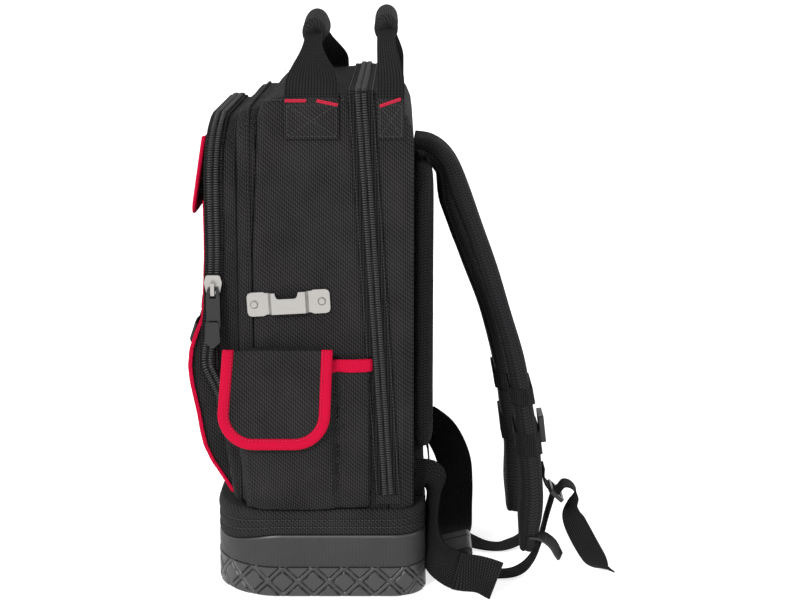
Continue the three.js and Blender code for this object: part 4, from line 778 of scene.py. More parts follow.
POCKET_FACE = curve_through([
    (0.187, 0.28), (0.26, 0.45), (0.33, 0.62), (0.39, 0.8), (0.435, 1.08), (0.47, 1.3), (0.53, 1.18),
    (0.61, 1.06), (0.7, 1), (0.8, 1.0), (0.9, 0.95), (0.96, 0.82),
], 8)


def pocket_face(z):
    """How far forward the front pockets reach at a height."""
    return POCKET_BACK - 30 * float(np.interp(z / BODY_TOP, POCKET_FACE[:, 0], POCKET_FACE[:, 1]))


def front_zip_path(offset, out):
    """Line beside the middle of the front pocket's zip."""
    arch = pocket_arch(out)
    points = np.array([(x, pocket_face(min(z, POCKET_TOP)) + 9 + offset, z) for x, z in arch])
    flat = np.array([(x, 0, z) for x, z in arch])
    outward = np.array([(x, 0, z) for x, z in pocket_arch(out + 1)])
    return points, outward - flat


def zip_teeth(name, path_of):
    """Two rows of coil turns, each a short bar across its half of the zip."""
    zips = bpy.context.scene.backpack_zips
    reach, rise = zips.half / MM, zips.rise / MM
    lift, apart = 2.6, 0.55
    _, normals = path_of(0.0, lift)
    ends, ups = [], []
    for side in (1, -1):
        line, _ = path_of(side * apart, lift)
        places, index = spaced(line, zips.pitch / MM)
        for place, i in zip(places, index):
            along = line[i + 1] - line[i]
            along = along / np.linalg.norm(along)
            across = np.cross(normals[i], along)
            across = across / np.linalg.norm(across)
            if across[1] * side < 0:
                across = -across
            ends.append((place, place + across * (reach - apart) + along * 0.35 * side))
            ups.append(normals[i])
    return beads(name, ends, ups, zips.tooth / MM, rise, "coil", sides=6)


def make_zips():
    for node in ("main_zip", "front_zip"):
        cloth_piece(node, "rib", facet=0.8, relax=0, crease=0, turned=node == "front_zip")
    zip_teeth("main_zip_teeth", main_zip_path)
    zip_teeth("front_zip_teeth", front_zip_path)
    seams = Seams("zip_seams", "thread")
    for offset in (-10.6, 10.6):
        path, normals = main_zip_path(offset, 1.5)
        seams.sew(path, normals)
    seams.make()
    hard_piece("front_zip_slider", "steel", 0.6)
    for node in ("front_zip_pull", "front_zip_link"):
        hard_piece(node, "plastic", 0.4)


# Front


def make_front_pockets():
    cloth_piece("front_pocket", "nylon", facet=1.7, relax=1, seed=7.0, size=45, crease=0.7)
    cloth_piece("lower_front_pocket", "nylon", facet=1.7, relax=1, seed=9.0, size=48, crease=0.9)
    for side in ("near", "far"):
        cloth_piece(f"lower_pocket_binding_{side}", "tape", facet=0.4, relax=1, crease=0.15, size=12)
    for level in ("upper", "middle", "lower"):
        cloth_piece(f"tool_loops_{level}", "webbing", facet=0.5, relax=1, crease=0.1, size=15,
                    turned=True)
    make_flap("upper_flap", UPPER_FLAP_CORNERS, upper_flap_place, 2.0, 4.6)


# Corners of a flap: place along its root, drop under the root, and radius
UPPER_FLAP_CORNERS = [(-120, -77, 18), (120, -77, 18), (120, 0, 0.5), (-120, 0, 0.5)]
SIDE_FLAP_CORNERS = [(-97, -95, 34), (11, -95, 34), (15, 0, 0.5), (-89, 0, 0.5)]
UPPER_FLAP_ROOT = 445
SIDE_FLAP_ROOT = 250
FLAP_TAPE = 11.0


def upper_flap_place(u, v, w):
    """Place in the bag's frame: u across, v up from the root, w out of the flap."""
    lean = math.atan2(13, 77)
    root = pocket_face(UPPER_FLAP_ROOT) - 1.7
    y = root + v * math.sin(lean) - w * math.cos(lean)
    return (u, y, UPPER_FLAP_ROOT + v * math.cos(lean) - w * math.sin(lean))


def side_flap_place(side):
    lean = math.atan2(15, 95)

    def place(u, v, w):
        out = 167.3 - v * math.sin(lean) + w * math.cos(lean)
        return (side * out, u, SIDE_FLAP_ROOT + v * math.cos(lean) + w * math.sin(lean))

    return place


def flap_edge(corners, inset, steps=9):
    """Open line down one side of a flap, round its foot and up the other, moved inward."""
    left_foot, right_foot, right_top, left_top = corners
    drop = left_foot[1]
    foot = drop + inset
    sides = []
    edges = ((left_foot, left_top, 1), (right_foot, right_top, -1))
    for (u, _, radius), (top_u, top_v, _), sign in edges:
        radius_in = max(radius - inset, 0.4)
        slope = (top_u - u) / (top_v - drop)
        round_top = drop + radius
        side = []
        for t in np.linspace(1, 0, 14):
            z = round_top + (top_v - round_top) * t
            side.append((u + slope * (z - drop) + sign * inset, z))
        start = side[-1][0]
        for k in range(1, steps + 1):
            angle = math.pi / 2 * k / steps
            side.append((start + sign * radius_in * (1 - math.cos(angle)),
                         foot + radius_in * (1 - math.sin(angle))))
        sides.append(side)
    left, right = sides
    span = right[-1][0] - left[-1][0]
    bottom = [(left[-1][0] + span * t, foot) for t in np.linspace(0, 1, 16)[1:-1]]
    return left + bottom + right[::-1]


def make_flap(node, corners, place, thick, tape_thick):
    """Flap of twill with a folded tape round its sides and foot, sewn through."""
    cloth_piece(node, "nylon", facet=0.8, relax=1, crease=0.35, size=30, seed=4.0)
    outer = flap_edge(corners, 0.0)
    inner = flap_edge(corners, FLAP_TAPE)
    profile = [(0.97, 0.46), (0.6, 0.58), (0.3, 0.6), (0.08, 0.42), (0.0, 0.0),
               (0.08, -0.42), (0.3, -0.6), (0.6, -0.58), (0.97, -0.46), (1.0, 0.0)]
    middle = thick / 2
    loops = []
    for (u0, v0), (u1, v1) in zip(outer, inner):
        wave = 0.12 * noise.noise(Vector((u0, v0, 3.0)) / 14)
        loops.append([place(u0 + (u1 - u0) * share, v0 + (v1 - v0) * share,
                            middle + height * tape_thick * (0.84 + wave)) for share, height in profile])
    across = [share * FLAP_TAPE for share, _ in profile]
    name = node.replace("flap", "flap_binding")
    mesh = loft(f"{name}_tape", loops, across)
    add_piece(f"{name}_tape", mesh, "tape", replaces=[name])
    seams = Seams(f"{name}_seam", "red_thread")
    line = flap_edge(corners, FLAP_TAPE - 2)
    front = np.array([place(u, v, middle + tape_thick * 0.49) for u, v in line])
    back = np.array([place(u, v, middle) for u, v in line])
    outward = (front - back)[0]
    seams.sew(front, outward / np.linalg.norm(outward), lift=0.15)
    seams.make(width=0.6)


# Sides


def make_side_pockets():
    for sign, side in ((1, "near"), (-1, "far")):
        cloth_piece(f"side_pocket_{side}", "nylon", seed=11.0 + sign, size=34, crease=1.5,
                    stretch=(1, 1, 0.5))
        cloth_piece(f"side_pocket_binding_{side}", "tape", facet=0.5, relax=1, crease=0.2, size=14)
        make_flap(f"side_flap_{side}", SIDE_FLAP_CORNERS, side_flap_place(sign), 2.0, 4.2)


def make_tape_clip():
    hard_piece("tape_clip", "steel", 0.45)
    for end in ("front", "rear"):
        hard_piece(f"clip_rivet_{end}", "steel", 0.4)


# Handles

HANDLE_FOOT = 448
HANDLE_NECK = 17
HANDLE_GAP = 0.4
BARTACK_LINE = 483
GRIP_HALF = 62
GRIP_RADIUS = 12
GRIP_SAG = 8.1

# Half of a handle from its foot to its top: share of the reach across, and of the rise
HANDLE_PATH = [(1, 0), (1, 0.36), (0.965, 0.48), (0.8, 0.68), (0.58, 0.84), (0.42, 0.915),
               (0.2, 0.975), (0, 1)]


def smoothstep(value, low, high):
    t = min(max((value - low) / (high - low), 0), 1)
    return t * t * (3 - 2 * t)


def handle_rows(base_y, top_y, base_width, top, thick):
    """Middle and width of a handle's webbing from side to side."""
    edge = BODY_HALF + HANDLE_GAP + thick / 2
    rows = []
    for across, rise in curve_through(HANDLE_PATH, 7):
        share = smoothstep(rise, 0.5, 0.88)
        z = HANDLE_FOOT + rise * (top - HANDLE_FOOT)
        rows.append((across * edge, base_y + (top_y - base_y) * share, z,
                     base_width + (HANDLE_NECK - base_width) * share))
    return np.array(rows + [(-x, y, z, w) for x, y, z, w in rows[-2::-1]])


def make_handle(name, base_y, top_y, base_width, top):
    thick = bpy.context.scene.backpack_webbing.thick / MM
    rows = handle_rows(base_y, top_y, base_width, top, thick)
    middles = rows[:, :3]
    loops = []
    for i, middle in enumerate(middles):
        tangent = tangent_at(middles, i)
        side = square_to(np.array((0.0, 1.0, 0.0)), tangent)
        section = band_section(rows[i, 3], thick)
        normal = np.cross(tangent, side)
        loops.append(middle + section[:, :1] * side + section[:, 1:] * normal)
    across = band_section(base_width, thick)[:, 0]

    def covered(i, j):
        return 1 if rows[i, 2] < BARTACK_LINE + 1 else 0

    mesh = loft(f"{name}_strap", loops, across, covered)
    add_piece(f"{name}_strap", mesh, ["rib", "nylon"], replaces=[f"{name}_webbing"], crease_angle=50)
    make_grip(name, top_y, top)
    return rows


def make_grip(name, y, top):
    """Padded grip wrapped round the webbing, with a seam under it and turned ends."""
    sides = 28
    loops = []
    for t in np.linspace(-1, 1, 49):
        z = top - GRIP_SAG * t * t
        slope = -2 * GRIP_SAG * t / GRIP_HALF
        end = math.sqrt(max(1 - max(abs(t) - 0.9, 0) ** 2 / 0.011, 0.35))
        hem = 1 + 0.05 * math.exp(-((abs(t) - 0.9) / 0.03) ** 2)
        loop = []
        for k in range(sides):
            angle = 2 * math.pi * k / sides
            seam = 1 - 0.06 * math.exp(-((angle - 1.5 * math.pi) / 0.12) ** 2)
            radius = GRIP_RADIUS * end * hem * seam
            up = 1.12 * radius * math.sin(angle)
            loop.append((t * GRIP_HALF - up * slope, y + 0.94 * radius * math.cos(angle), z + up))
        loops.append(loop)
    mesh = loft(f"{name}_wrap", loops)
    add_piece(f"{name}_wrap", mesh, "nylon", replaces=[f"{name}_grip"])


def make_handles():
    front = make_handle("handle_front", -3, -5, 50, 545)
    rear = make_handle("handle_rear", 69.6, 64.6, 25, 549)
    box_seam = Seams("handle_seams", "thread")
    tacks = Seams("handle_tacks", "red_thread")
    front_pair = ((-24, -5, 0, 0), (5, 24, 0, -4))
    for rows, half, pairs in ((front, 25, front_pair), (rear, 12.5, ((-10, 9, -5, 1.5),))):
        y = rows[0, 1]
        for side in (1, -1):
            x = side * (BODY_HALF + 2.3)
            normal = (side, 0, 0)
            low, high, reach = HANDLE_FOOT + 2.5, BARTACK_LINE - 4, half - 2.5
            corners = [(x, y - reach, low), (x, y + reach, low), (x, y + reach, high),
                       (x, y - reach, high)]
            box_seam.sew(corners + corners[:1], normal)
            box_seam.sew([corners[0], corners[2]], normal)
            box_seam.sew([corners[1], corners[3]], normal)
            for start, stop, low_end, high_end in pairs:
                tacks.tack((x, y + start, BARTACK_LINE + low_end),
                           (x, y + stop, BARTACK_LINE + high_end), normal)
    for side in (1, -1):
        for start, stop in ((-50, -29), (-28, 22), (24, 27), (84, 87)):
            line = [(side * (BODY_HALF + 0.2), y, BARTACK_LINE + 0.5) for y in (start, stop)]
            box_seam.sew(line, (side, 0, 0))
    box_seam.make()
    tacks.make(width=0.75)


# Back pads and shoulder straps


def stuffed(node, name, voxel, start_inset, most, pressure=4.0, frames=20):
    """Pad blown up by a short cloth simulation and then held within the given reach."""
    mesh = dense_copy(node, name, 12 * MM, 0)
    pad = bpy.data.objects.new(name, mesh)
    bpy.context.scene.collection.objects.link(pad)
    bpy.context.view_layer.objects.active = pad
    remesh = pad.modifiers.new("even mesh", "REMESH")
    remesh.mode = "VOXEL"
    remesh.voxel_size = voxel * MM
    bpy.ops.object.modifier_apply(modifier=remesh.name)
    mesh = pad.data
    mesh.update()
    for vertex in mesh.vertices:
        vertex.co -= vertex.normal * start_inset * MM
    rest = np.array([vertex.co[:] for vertex in mesh.vertices])
    cloth = pad.modifiers.new("stuffing", "CLOTH")
    cloth.settings.use_pressure = True
    cloth.settings.uniform_pressure_force = pressure
    cloth.settings.effector_weights.gravity = 0
    for step in range(1, frames + 1):
        bpy.context.scene.frame_set(step)
    bpy.ops.object.modifier_apply(modifier=cloth.name)
    blown = np.array([vertex.co[:] for vertex in pad.data.vertices])
    move = blown - rest
    size = np.linalg.norm(move, axis=1, keepdims=True)
    move *= np.minimum(1, most * MM / np.maximum(size, 1e-9))
    for vertex, co in zip(pad.data.vertices, rest + move):
        vertex.co = co
    bpy.context.scene.frame_set(1)
    for vertex in pad.data.vertices:
        if vertex.co.y < (BODY_REAR + 3.0) * MM:
            vertex.co.y = (BODY_REAR + 0.35) * MM
    subdivide(pad)
    return pad


def subdivide(piece):
    smooth = piece.modifiers.new("fine surface", "SUBSURF")
    smooth.levels = 1
    bpy.context.view_layer.objects.active = piece
    bpy.ops.object.modifier_apply(modifier=smooth.name)


def make_back_pads():
    for side in ("near", "far"):
        pad = stuffed(f"back_pad_{side}", f"back_pad_{side}_foam", 5, 2.2, 2.4)
        box_places(pad.data)
        pad.data.materials.append(material("mesh"))
        pad.data.shade_smooth()
        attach(pad, "bag")
        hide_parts(f"back_pad_{side}")


STRAP_ROOT = 436
STRAP_FALL = 413
STRAP_REACH = 112
STRAP_WIDTH = 70
STRAP_THICK = 22
FAR_DROP = 27
FAR_SWING = 52
FAR_SAG = 14
STRAP_SEAM = 0.12

# Strap from its root: shares of the fall, the reach, the spread, the thickness and the width
STRAP_PATH = [
    (0, -0.09, 0, 0.62, 0.86), (0.01, 0.1, 0.02, 0.68, 0.9), (0.05, 0.26, 0.06, 0.8, 0.96),
    (0.13, 0.375, 0.14, 0.9, 1), (0.25, 0.54, 0.32, 0.88, 1), (0.38, 0.7, 0.52, 0.86, 1),
    (0.5, 0.83, 0.7, 0.88, 1), (0.62, 0.915, 0.84, 0.92, 1), (0.74, 0.975, 0.94, 1, 0.98),
    (0.83, 1.0, 1, 1.05, 0.92), (0.92, 0.985, 1, 0.95, 0.78), (0.98, 0.965, 1, 0.6, 0.5),
]


def strap_rows(side, steps):
    """Middle, width and thickness of a shoulder strap from its root to its tip."""
    rows = []
    far = 1 if side < 0 else 0
    root = STRAP_ROOT - far * FAR_DROP
    drop = STRAP_FALL - far * FAR_DROP
    for fall, reach, spread, thick, wide in curve_through(STRAP_PATH, steps):
        swing = far * FAR_SWING * smoothstep(fall, 0.35, 1)
        sag = far * FAR_SAG * min(fall * 8, 1) * (1 - 0.6 * fall)
        x = side * (62 + 44 * spread - 1.9 * swing)
        y = BODY_REAR + 5.3 + STRAP_REACH * reach - sag * min(reach * 2, 1)
        rows.append((x, y, root - drop * fall, STRAP_WIDTH * wide, STRAP_THICK * thick))
    return np.array(rows)


def strap_section(width, thick):
    """Two layers of padding with a sewn seam between them along both edges."""
    half, rise = width / 2, thick / 2
    points = []
    sides = 72
    for k in range(sides):
        angle = 2 * math.pi * (k + 0.5) / sides
        cos, sin = math.cos(angle), math.sin(angle)
        u = math.copysign(abs(cos) ** 0.34, cos) * half
        v = math.copysign(abs(sin) ** 0.62, sin) * rise
        near_seam = math.exp(-((v - STRAP_SEAM * thick) / 0.9) ** 2)
        seam = near_seam * smoothstep(abs(u), half - 5, half - 1)
        u -= math.copysign(2.6 * seam, u)
        points.append((u, v))
    return np.array(points)


def make_shoulder_strap(side, word):
    rows = strap_rows(side, 9)
    rows = rows[rows[:, 1] > BODY_REAR + 0.4]
    middles = rows[:, :3]
    loops = []
    for i, row in enumerate(rows):
        tangent = tangent_at(middles, i)
        across = square_to(np.array((1.0, 0.0, 0.0)), tangent)
        normal = np.cross(tangent, across)
        tuft = 1 - 0.035 * (1 + math.cos(i * 0.42))
        section = strap_section(row[3], row[4] * tuft)
        loops.append(middles[i] + section[:, :1] * across + section[:, 1:] * normal)

    def layer(i, j):
        v = strap_section(rows[i, 3], rows[i, 4])[j, 1]
        return 1 if v > STRAP_SEAM * rows[i, 4] else 0

    mesh = loft(f"shoulder_strap_{word}_pad", loops, slot_of=layer)
    strap = add_piece(f"shoulder_strap_{word}_pad", mesh, ["mesh", "cross_rib"],
                      replaces=[f"shoulder_strap_{word}"])


def make_shoulder_straps():
    for side, word in ((1, "near"), (-1, "far")):
        make_shoulder_strap(side, word)
        for loop in ("sternum_loop", "accessory_loop"):
            cloth_piece(f"{loop}_{word}", "webbing", facet=0.5, relax=0, crease=0)
        hard_piece(f"sternum_buckle_{word}", "plastic", 0.5)
    hard_piece("strap_end_tab_near", "plastic", 0.5)


# Adjusters and waist belt

ADJUSTER_REACH = 140
ADJUSTER_RISE = 86
BELT_REACH = 75
BELT_RISE = 100
LOCK_TURN = -42

# Each row: shares of the strap's foot, the reach and the rise, then the direction of the width
ADJUSTER_NEAR = [
    (0.5, 0.0, 1.14, 1, 0, 0), (0.5, 0.095, 1.07, 1, 0, 0), (0.5, 0.122, 0.86, 1, 0, 0),
    (0.5, 0.125, 0.5, 1, 0, 0), (0.51, 0.13, 0.2, 1, -0.1, 0), (0.55, 0.165, 0.05, 0.9, -0.45, 0),
    (0.76, 0.32, 0.025, 0.7, -0.7, 0), (1.0, 0.52, 0.025, 0.8, -0.6, 0), (1.04, 0.72, 0.055, 1, 0, 0),
    (1.01, 0.84, 0.2, 1, 0, 0), (1, 0.905, 0.46, 1, 0, 0), (1, 0.945, 0.74, 1, 0, 0),
]
ADJUSTER_FAR = [
    (-0.5, 0.0, 1.14, 1, 0, 0), (-0.5, 0.095, 1.07, 1, 0, 0), (-0.5, 0.122, 0.86, 1, 0, 0),
    (-0.5, 0.125, 0.5, 1, 0, 0), (-0.49, 0.13, 0.2, 1, -0.1, 0), (-0.44, 0.165, 0.05, 0.85, -0.5, 0),
    (-0.2, 0.27, 0.025, 0.5, -0.87, 0), (0.08, 0.39, 0.025, 0.5, -0.87, 0),
    (0.28, 0.52, 0.025, 0.75, -0.65, 0), (0.34, 0.68, 0.045, 1, 0, 0), (0.2, 0.82, 0.12, 1, 0, 0),
    (0.12, 0.875, 0.35, 1, 0, 0),
]
TAIL_NEAR = [
    (1, 1.065, 1.13, 1, 0, 0), (1, 1.125, 1.1, 1, 0, 0), (1, 1.158, 0.99, 1, 0, 0),
    (1, 1.135, 0.87, 0.9, 0.3, 0.2), (1, 1.14, 0.7, 0.5, 0.8, 0.5), (1, 1.2, 0.48, 0.25, 0.85, 0.5),
    (0.99, 1.29, 0.22, 0.35, 0.8, 0.5), (0.97, 1.35, 0.085, 0.75, 0.5, 0.3),
    (0.95, 1.42, 0.05, 0.9, 0.3, 0.05),
]
BELT_FAR = [
    (-1.04, 0.19, 0.98, 0, 0.12, 1), (-0.93, 0.44, 0.84, 0, 0.75, 0.65),
    (-0.72, 0.6, 0.63, 0.1, 1, 0.3), (-0.47, 0.62, 0.44, 0.1, 1, 0.1), (-0.22, 0.6, 0.26, 0.1, 1, 0.05),
    (0.06, 0.58, 0.16, 0, 1, 0.05), (0.36, 0.54, 0.19, 0, 1, 0.1), (0.62, 0.5, 0.24, 0, 0.97, 0.25),
    (0.7, 0.49, 0.27, 0, 0.97, 0.25),
]
BELT_NEAR = [
    (1.17, 0.01, 1.09, 0, 0, 1), (1.17, 0.19, 1.08, 0, 0.25, 0.97), (1.19, 0.25, 0.95, 0.8, 0.3, 0.4),
    (1.23, 0.22, 0.72, 0.95, 0.3, 0), (1.28, 0.23, 0.5, 0.8, 0.45, 0.3),
    (1.33, 0.32, 0.32, 0.15, 0.4, 0.9), (1.37, 0.5, 0.22, -0.1, 0.2, 1),
    (1.39, 0.62, 0.203, -0.1, 0.1, 1),
]
BELT_TAIL = [
    (1.41, 0.54, 0.216, -0.1, 0.15, 1), (1.415, 0.623, 0.203, -0.1, 0.1, 1),
    (1.46, 0.84, 0.2, -0.1, 0, 1), (1.56, 1.06, 0.175, -0.5, 0.1, 0.85),
]


def behind(rows, reach, rise):
    """Rows given as shares of the strap's foot, the reach behind the bag and the rise."""
    scale = np.array((STRAP_FOOT, reach, rise, 1, 1, 1))
    return np.array(rows) * scale + np.array((0, BODY_REAR + 1.2, 0, 0, 0, 0))


def beside_lock(along, out):
    """Row at the ladder buckle: along its length, and out from its middle plane."""
    turn = math.radians(LOCK_TURN)
    y = BODY_REAR + ADJUSTER_REACH * 1.012 + along * math.cos(turn) - out * math.sin(turn)
    z = ADJUSTER_RISE * 1.035 + along * math.sin(turn) + out * math.cos(turn)
    return (STRAP_FOOT, y, z, 1, 0, 0)


def make_adjusters():
    narrow = bpy.context.scene.backpack_webbing.narrow / MM
    near, far, tail = (behind(rows, ADJUSTER_REACH, ADJUSTER_RISE)
                       for rows in (ADJUSTER_NEAR, ADJUSTER_FAR, TAIL_NEAR))
    tail = np.vstack([beside_lock(0, 3.2), beside_lock(1, 3.6), tail])
    webbing_piece("adjuster_near", np.vstack([near, beside_lock(0, -3.2)]), narrow)
    webbing_piece("adjuster_far", far, narrow)
    webbing_piece("adjuster_tail_near", tail, narrow, bow=0.5)
    cloth_piece("lock_webbing_near", "webbing", facet=0.4, relax=0, crease=0)
    hard_piece("ladder_lock_near", "plastic", 0.5)


def make_waist_belt():
    wide = bpy.context.scene.backpack_webbing.wide / MM
    far, near, tail = (behind(rows, BELT_REACH, BELT_RISE) for rows in (BELT_FAR, BELT_NEAR, BELT_TAIL))
    webbing_piece("belt_far", far, wide, bow=1.2)
    webbing_piece("belt_near", near, wide, bow=1.0)
    webbing_piece("belt_tail", tail, wide, finish="cross_rib")
    for half in ("male", "female"):
        hard_piece(f"belt_buckle_{half}", "plastic", 0.8)


# Rubber base


def tray_outline(step):
    """Places and outward directions round the base, counter-clockwise."""
    half, front, rear = TRAY["half"], TRAY["front"], TRAY["rear"]
    corners = [(half, front, TRAY["front_round"], -90), (half, rear, TRAY["rear_round"], 0),
               (-half, rear, TRAY["rear_round"], 90), (-half, front, TRAY["front_round"], 180)]
    points, normals = [], []
    for i, (x, y, radius, start) in enumerate(corners):
        centre = np.array((x - math.copysign(radius, x), y - math.copysign(radius, y)))
        count = max(int(radius * math.pi / 2 / step), 2)
        for k in range(count + 1):
            angle = math.radians(start + 90 * k / count)
            normals.append((math.cos(angle), math.sin(angle)))
            points.append(centre + radius * np.array(normals[-1]))
        nx, ny, nradius, nstart = corners[(i + 1) % 4]
        ncentre = np.array((nx - math.copysign(nradius, nx), ny - math.copysign(nradius, ny)))
        angle = math.radians(nstart)
        target = ncentre + nradius * np.array((math.cos(angle), math.sin(angle)))
        gap = np.linalg.norm(target - points[-1])
        begin = points[-1]
        for t in np.linspace(0, 1, max(int(gap / step), 2) + 1)[1:-1]:
            points.append(begin + (target - begin) * t)
            normals.append((math.cos(angle), math.sin(angle)))
    return np.array(points), np.array(normals)


def tread_relief(along, z, pitch, base):
    """Height of the tread: crossing ribs, grooves beside them and blocks between."""
    share = (z - TREAD_LOW) / (TREAD_TOP - 1 - TREAD_LOW)
    turn = math.cos(math.atan2(TREAD_TOP - 1 - TREAD_LOW, pitch))
    rib, groove = base.rib / MM / 2, base.groove / MM
    relief = base.relief / MM
    near = np.full(along.shape, 1e9)
    for sign in (1, -1):
        offset = (along / pitch + sign * (share - 0.5) + 0.5) % 1 - 0.5
        near = np.minimum(near, np.abs(offset) * pitch * turn)
    on_rib = np.clip((rib + 0.25 - near) / 0.5, 0, 1)
    on_block = np.clip((near - rib - groove + 0.25) / 0.5, 0, 1)
    crown = 0.8 - 0.2 * (np.minimum(near, rib) / rib) ** 2
    return relief * np.maximum(on_rib * crown, on_block)


def front_share(y):
    """Rises smoothly from 0 along the sides to 1 at the front, where the band dips."""
    share = np.clip((TRAY["front"] + TRAY["front_round"] - y) / TRAY["front_round"], 0, 1)
    return share * share * (3 - 2 * share)


def make_rubber_base():
    base = bpy.context.scene.backpack_base
    points, normals = tray_outline(0.8)
    lengths = np.concatenate([[0], np.cumsum(np.linalg.norm(np.diff(points, axis=0), axis=1))])
    total = lengths[-1] + np.linalg.norm(points[0] - points[-1])
    pitch = total / round(total / (base.pitch / MM))
    relief = base.relief / MM
    dips = front_share(points[:, 1])
    rows = [(relief + 8.0, 0.0, 0), (relief + 2.2, 0.0, 0), (relief + 0.9, 0.5, 0)]
    tread = [(relief, z, 0) for z in np.linspace(TREAD_LOW, TREAD_TOP - 1, 42)]
    band = [(relief, TREAD_TOP - 0.6, 0), (0.9, TREAD_TOP + 0.2, 0), (0.6, TREAD_TOP + 0.9, 0)]
    band += [(0.6, TREAD_TOP + 1 + (LIP_TOP - 5 - TREAD_TOP) * t, BAND_DIP * 0.9 * t)
             for t in np.linspace(0.1, 1, 10)]
    lip = [(0.75, LIP_TOP - 2.6, BAND_DIP * 0.94), (1.2, LIP_TOP - 1, BAND_DIP * 0.98),
           (2.2, LIP_TOP - 0.2, BAND_DIP), (3.4, LIP_TOP, BAND_DIP), (4.6, LIP_TOP - 0.3, BAND_DIP),
           (5.0, LIP_TOP - 1.4, BAND_DIP), (5.0, 30, 0), (5.0, 4, 0), (9.0, 4, 0)]
    loops = []
    for row, (inset, z, dip) in enumerate(rows + tread + band + lip):
        out = -np.full(len(points), inset, float)
        if len(rows) <= row < len(rows) + len(tread):
            out = out + tread_relief(lengths, z, pitch, base)
        flat = points + normals * out[:, None]
        loops.append(np.column_stack([flat, z - dip * dips]))
    first = len(rows) + len(tread) + 2
    last = first + 11

    def grained(i, j):
        return 1 if first <= i < last else 0

    mesh = loft("base_tray_rubber", loops, slot_of=grained)
    add_piece("base_tray_rubber", mesh, ["rubber", "grained"], replaces=["base_tray"], crease_angle=55)


# Stage

FLOOR_REACH = 60.0
LIGHT_TARGET = (0, 0.04, 0.26)
CAMERA_PLACE = (1.665, 0.078, 0.6375)
CAMERA_PITCH = 12.77
CAMERA_LENS = 74.03
CAMERA_SENSOR = 36.0

# Name, place and size in metres, and power in watts
LIGHTS = [
    ("key", (1.5, -1.2, 1.5), 0.7, 14),
    ("side", (2.3, 1.3, 1.0), 1.0, 5),
    ("rim", (-0.6, 1.5, 1.9), 0.8, 12),
]


def make_stage():
    scene = bpy.context.scene
    scene.view_settings.view_transform = "Standard"
    world = scene.world or bpy.data.worlds.new("studio")
    scene.world = world
    world.use_nodes = True
    background = world.node_tree.nodes["Background"]
    background.inputs["Color"].default_value = (1, 1, 1, 1)
    background.inputs["Strength"].default_value = 0.8
    mesh = bpy.data.meshes.new("floor")
    corners = [(-FLOOR_REACH, -FLOOR_REACH, 0), (FLOOR_REACH, -FLOOR_REACH, 0),
               (FLOOR_REACH, FLOOR_REACH, 0), (-FLOOR_REACH, FLOOR_REACH, 0)]
    mesh.from_pydata(corners, [], [(0, 1, 2, 3)])
    floor = bpy.data.objects.new("floor", mesh)
    scene.collection.objects.link(floor)
    pale = Finish("pale floor", 0.9)
    pale.shader.inputs["Base Color"].default_value = (0.6, 0.6, 0.6, 1)
    pale.shader.inputs["Emission Color"].default_value = (1, 1, 1, 1)
    pale.shader.inputs["Emission Strength"].default_value = 0.72
    mesh.materials.append(pale.material)
    add_sun((1.0, -0.5, 0.75), 2.2, 10)
    for name, place, size, power in LIGHTS:
        add_light(name, place, size, power)
    add_camera()


def add_sun(toward, strength, spread):
    """Broad light from one direction, its spread in degrees."""
    light = bpy.data.lights.new("sun", "SUN")
    light.energy = strength
    light.angle = math.radians(spread)
    lamp = bpy.data.objects.new("sun", light)
    lamp.rotation_euler = Vector(toward).to_track_quat("Z", "Y").to_euler()
    bpy.context.scene.collection.objects.link(lamp)


def add_light(name, place, size, power):
    light = bpy.data.lights.new(name, "AREA")
    light.energy = power
    light.size = size
    lamp = bpy.data.objects.new(name, light)
    lamp.location = place
    lamp.rotation_euler = (Vector(LIGHT_TARGET) - lamp.location).to_track_quat("-Z", "Y").to_euler()
    bpy.context.scene.collection.objects.link(lamp)


def add_camera():
    camera = bpy.data.cameras.new("photo view")
    camera.lens = CAMERA_LENS
    camera.sensor_width = CAMERA_SENSOR
    eye = bpy.data.objects.new("photo view", camera)
    eye.location = CAMERA_PLACE
    eye.rotation_euler = (math.radians(90 - CAMERA_PITCH), 0, math.radians(90))
    bpy.context.scene.collection.objects.link(eye)
    bpy.context.scene.camera = eye


# Operators and panel


class MakeMainCompartment(bpy.types.Operator):
    """Cloth walls of the main and middle compartments, and the cuff over the base"""

    bl_idname = "backpack.main_compartment"
    bl_label = "Main compartment"

    def execute(self, context):
        make_main_compartment()
        return {"FINISHED"}


class MakeFrontPockets(bpy.types.Operator):
    """Zipped front pocket, bellows pocket with its loops, and the bound flap"""

    bl_idname = "backpack.front_pockets"
    bl_label = "Front pockets"

    def execute(self, context):
        make_front_pockets()
        return {"FINISHED"}


class MakeSidePockets(bpy.types.Operator):
    """Side pockets with their flaps and red tape"""

    bl_idname = "backpack.side_pockets"
    bl_label = "Side pockets"

    def execute(self, context):
        make_side_pockets()
        return {"FINISHED"}


class MakeZips(bpy.types.Operator):
    """Coil zips with their teeth, slider and pull"""

    bl_idname = "backpack.zips"
    bl_label = "Zips"

    def execute(self, context):
        make_zips()
        return {"FINISHED"}


class MakeTapeClip(bpy.types.Operator):
    """Steel tape clip and its rivets"""

    bl_idname = "backpack.tape_clip"
    bl_label = "Tape clip"

    def execute(self, context):
        make_tape_clip()
        return {"FINISHED"}


class MakeHandles(bpy.types.Operator):
    """Two grab handles with wrapped grips, sewn to the sides"""

    bl_idname = "backpack.handles"
    bl_label = "Handles"

    def execute(self, context):
        make_handles()
        return {"FINISHED"}


class MakeBackPads(bpy.types.Operator):
    """Stuffed mesh pads on the wearer's side"""

    bl_idname = "backpack.back_pads"
    bl_label = "Back pads"

    def execute(self, context):
        make_back_pads()
        return {"FINISHED"}


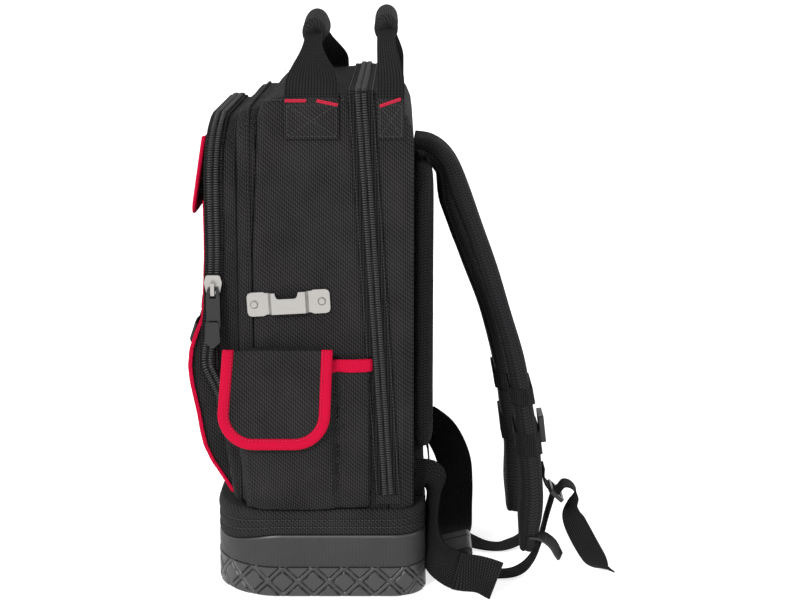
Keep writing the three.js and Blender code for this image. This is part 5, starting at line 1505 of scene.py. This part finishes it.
class MakeShoulderStraps(bpy.types.Operator):
    """Padded shoulder straps with their loops and chest buckles"""

    bl_idname = "backpack.shoulder_straps"
    bl_label = "Shoulder straps"

    def execute(self, context):
        make_shoulder_straps()
        return {"FINISHED"}


class MakeAdjusters(bpy.types.Operator):
    """Adjuster webbing from the base to the shoulder straps"""

    bl_idname = "backpack.adjusters"
    bl_label = "Adjusters"

    def execute(self, context):
        make_adjusters()
        return {"FINISHED"}


class MakeWaistBelt(bpy.types.Operator):
    """Waist belt and its fastened buckle"""

    bl_idname = "backpack.waist_belt"
    bl_label = "Waist belt"

    def execute(self, context):
        make_waist_belt()
        return {"FINISHED"}


class MakeRubberBase(bpy.types.Operator):
    """Moulded base with its tread, smooth band and lip"""

    bl_idname = "backpack.rubber_base"
    bl_label = "Rubber base"

    def execute(self, context):
        make_rubber_base()
        return {"FINISHED"}


class MakeStage(bpy.types.Operator):
    """Pale floor, soft lights and the camera"""

    bl_idname = "backpack.stage"
    bl_label = "Stage"

    def execute(self, context):
        make_stage()
        return {"FINISHED"}


SETTINGS = {
    "backpack_colours": BackpackColours,
    "backpack_cloth": BackpackCloth,
    "backpack_webbing": BackpackWebbing,
    "backpack_zips": BackpackZips,
    "backpack_base": BackpackBase,
}
OPERATORS = (MakeStage, MakeRubberBase, MakeMainCompartment, MakeFrontPockets, MakeSidePockets, MakeZips,
             MakeTapeClip, MakeHandles, MakeBackPads, MakeShoulderStraps, MakeAdjusters, MakeWaistBelt)


class BackpackPanel(bpy.types.Panel):
    """Buttons for the backpack's pieces and their settings"""

    bl_idname = "VIEW3D_PT_backpack"
    bl_label = "Tool Backpack"
    bl_space_type = "VIEW_3D"
    bl_region_type = "UI"
    bl_category = "Backpack"

    def draw(self, context):
        for operator in OPERATORS:
            self.layout.operator(operator.bl_idname)
        for setting in SETTINGS:
            group = getattr(context.scene, setting)
            for key in group.bl_rna.properties.keys():
                if key not in ("name", "rna_type"):
                    self.layout.prop(group, key)


def register():
    for kind in (*SETTINGS.values(), *OPERATORS, BackpackPanel):
        bpy.utils.register_class(kind)
    for name, kind in SETTINGS.items():
        setattr(bpy.types.Scene, name, PointerProperty(type=kind))


def unregister():
    for name in SETTINGS:
        delattr(bpy.types.Scene, name)
    for kind in reversed((*SETTINGS.values(), *OPERATORS, BackpackPanel)):
        bpy.utils.unregister_class(kind)


def main():
    register()
    for operator in OPERATORS:
        group, name = operator.bl_idname.split(".")
        getattr(getattr(bpy.ops, group), name)()


if __name__ == "__main__":
    main()
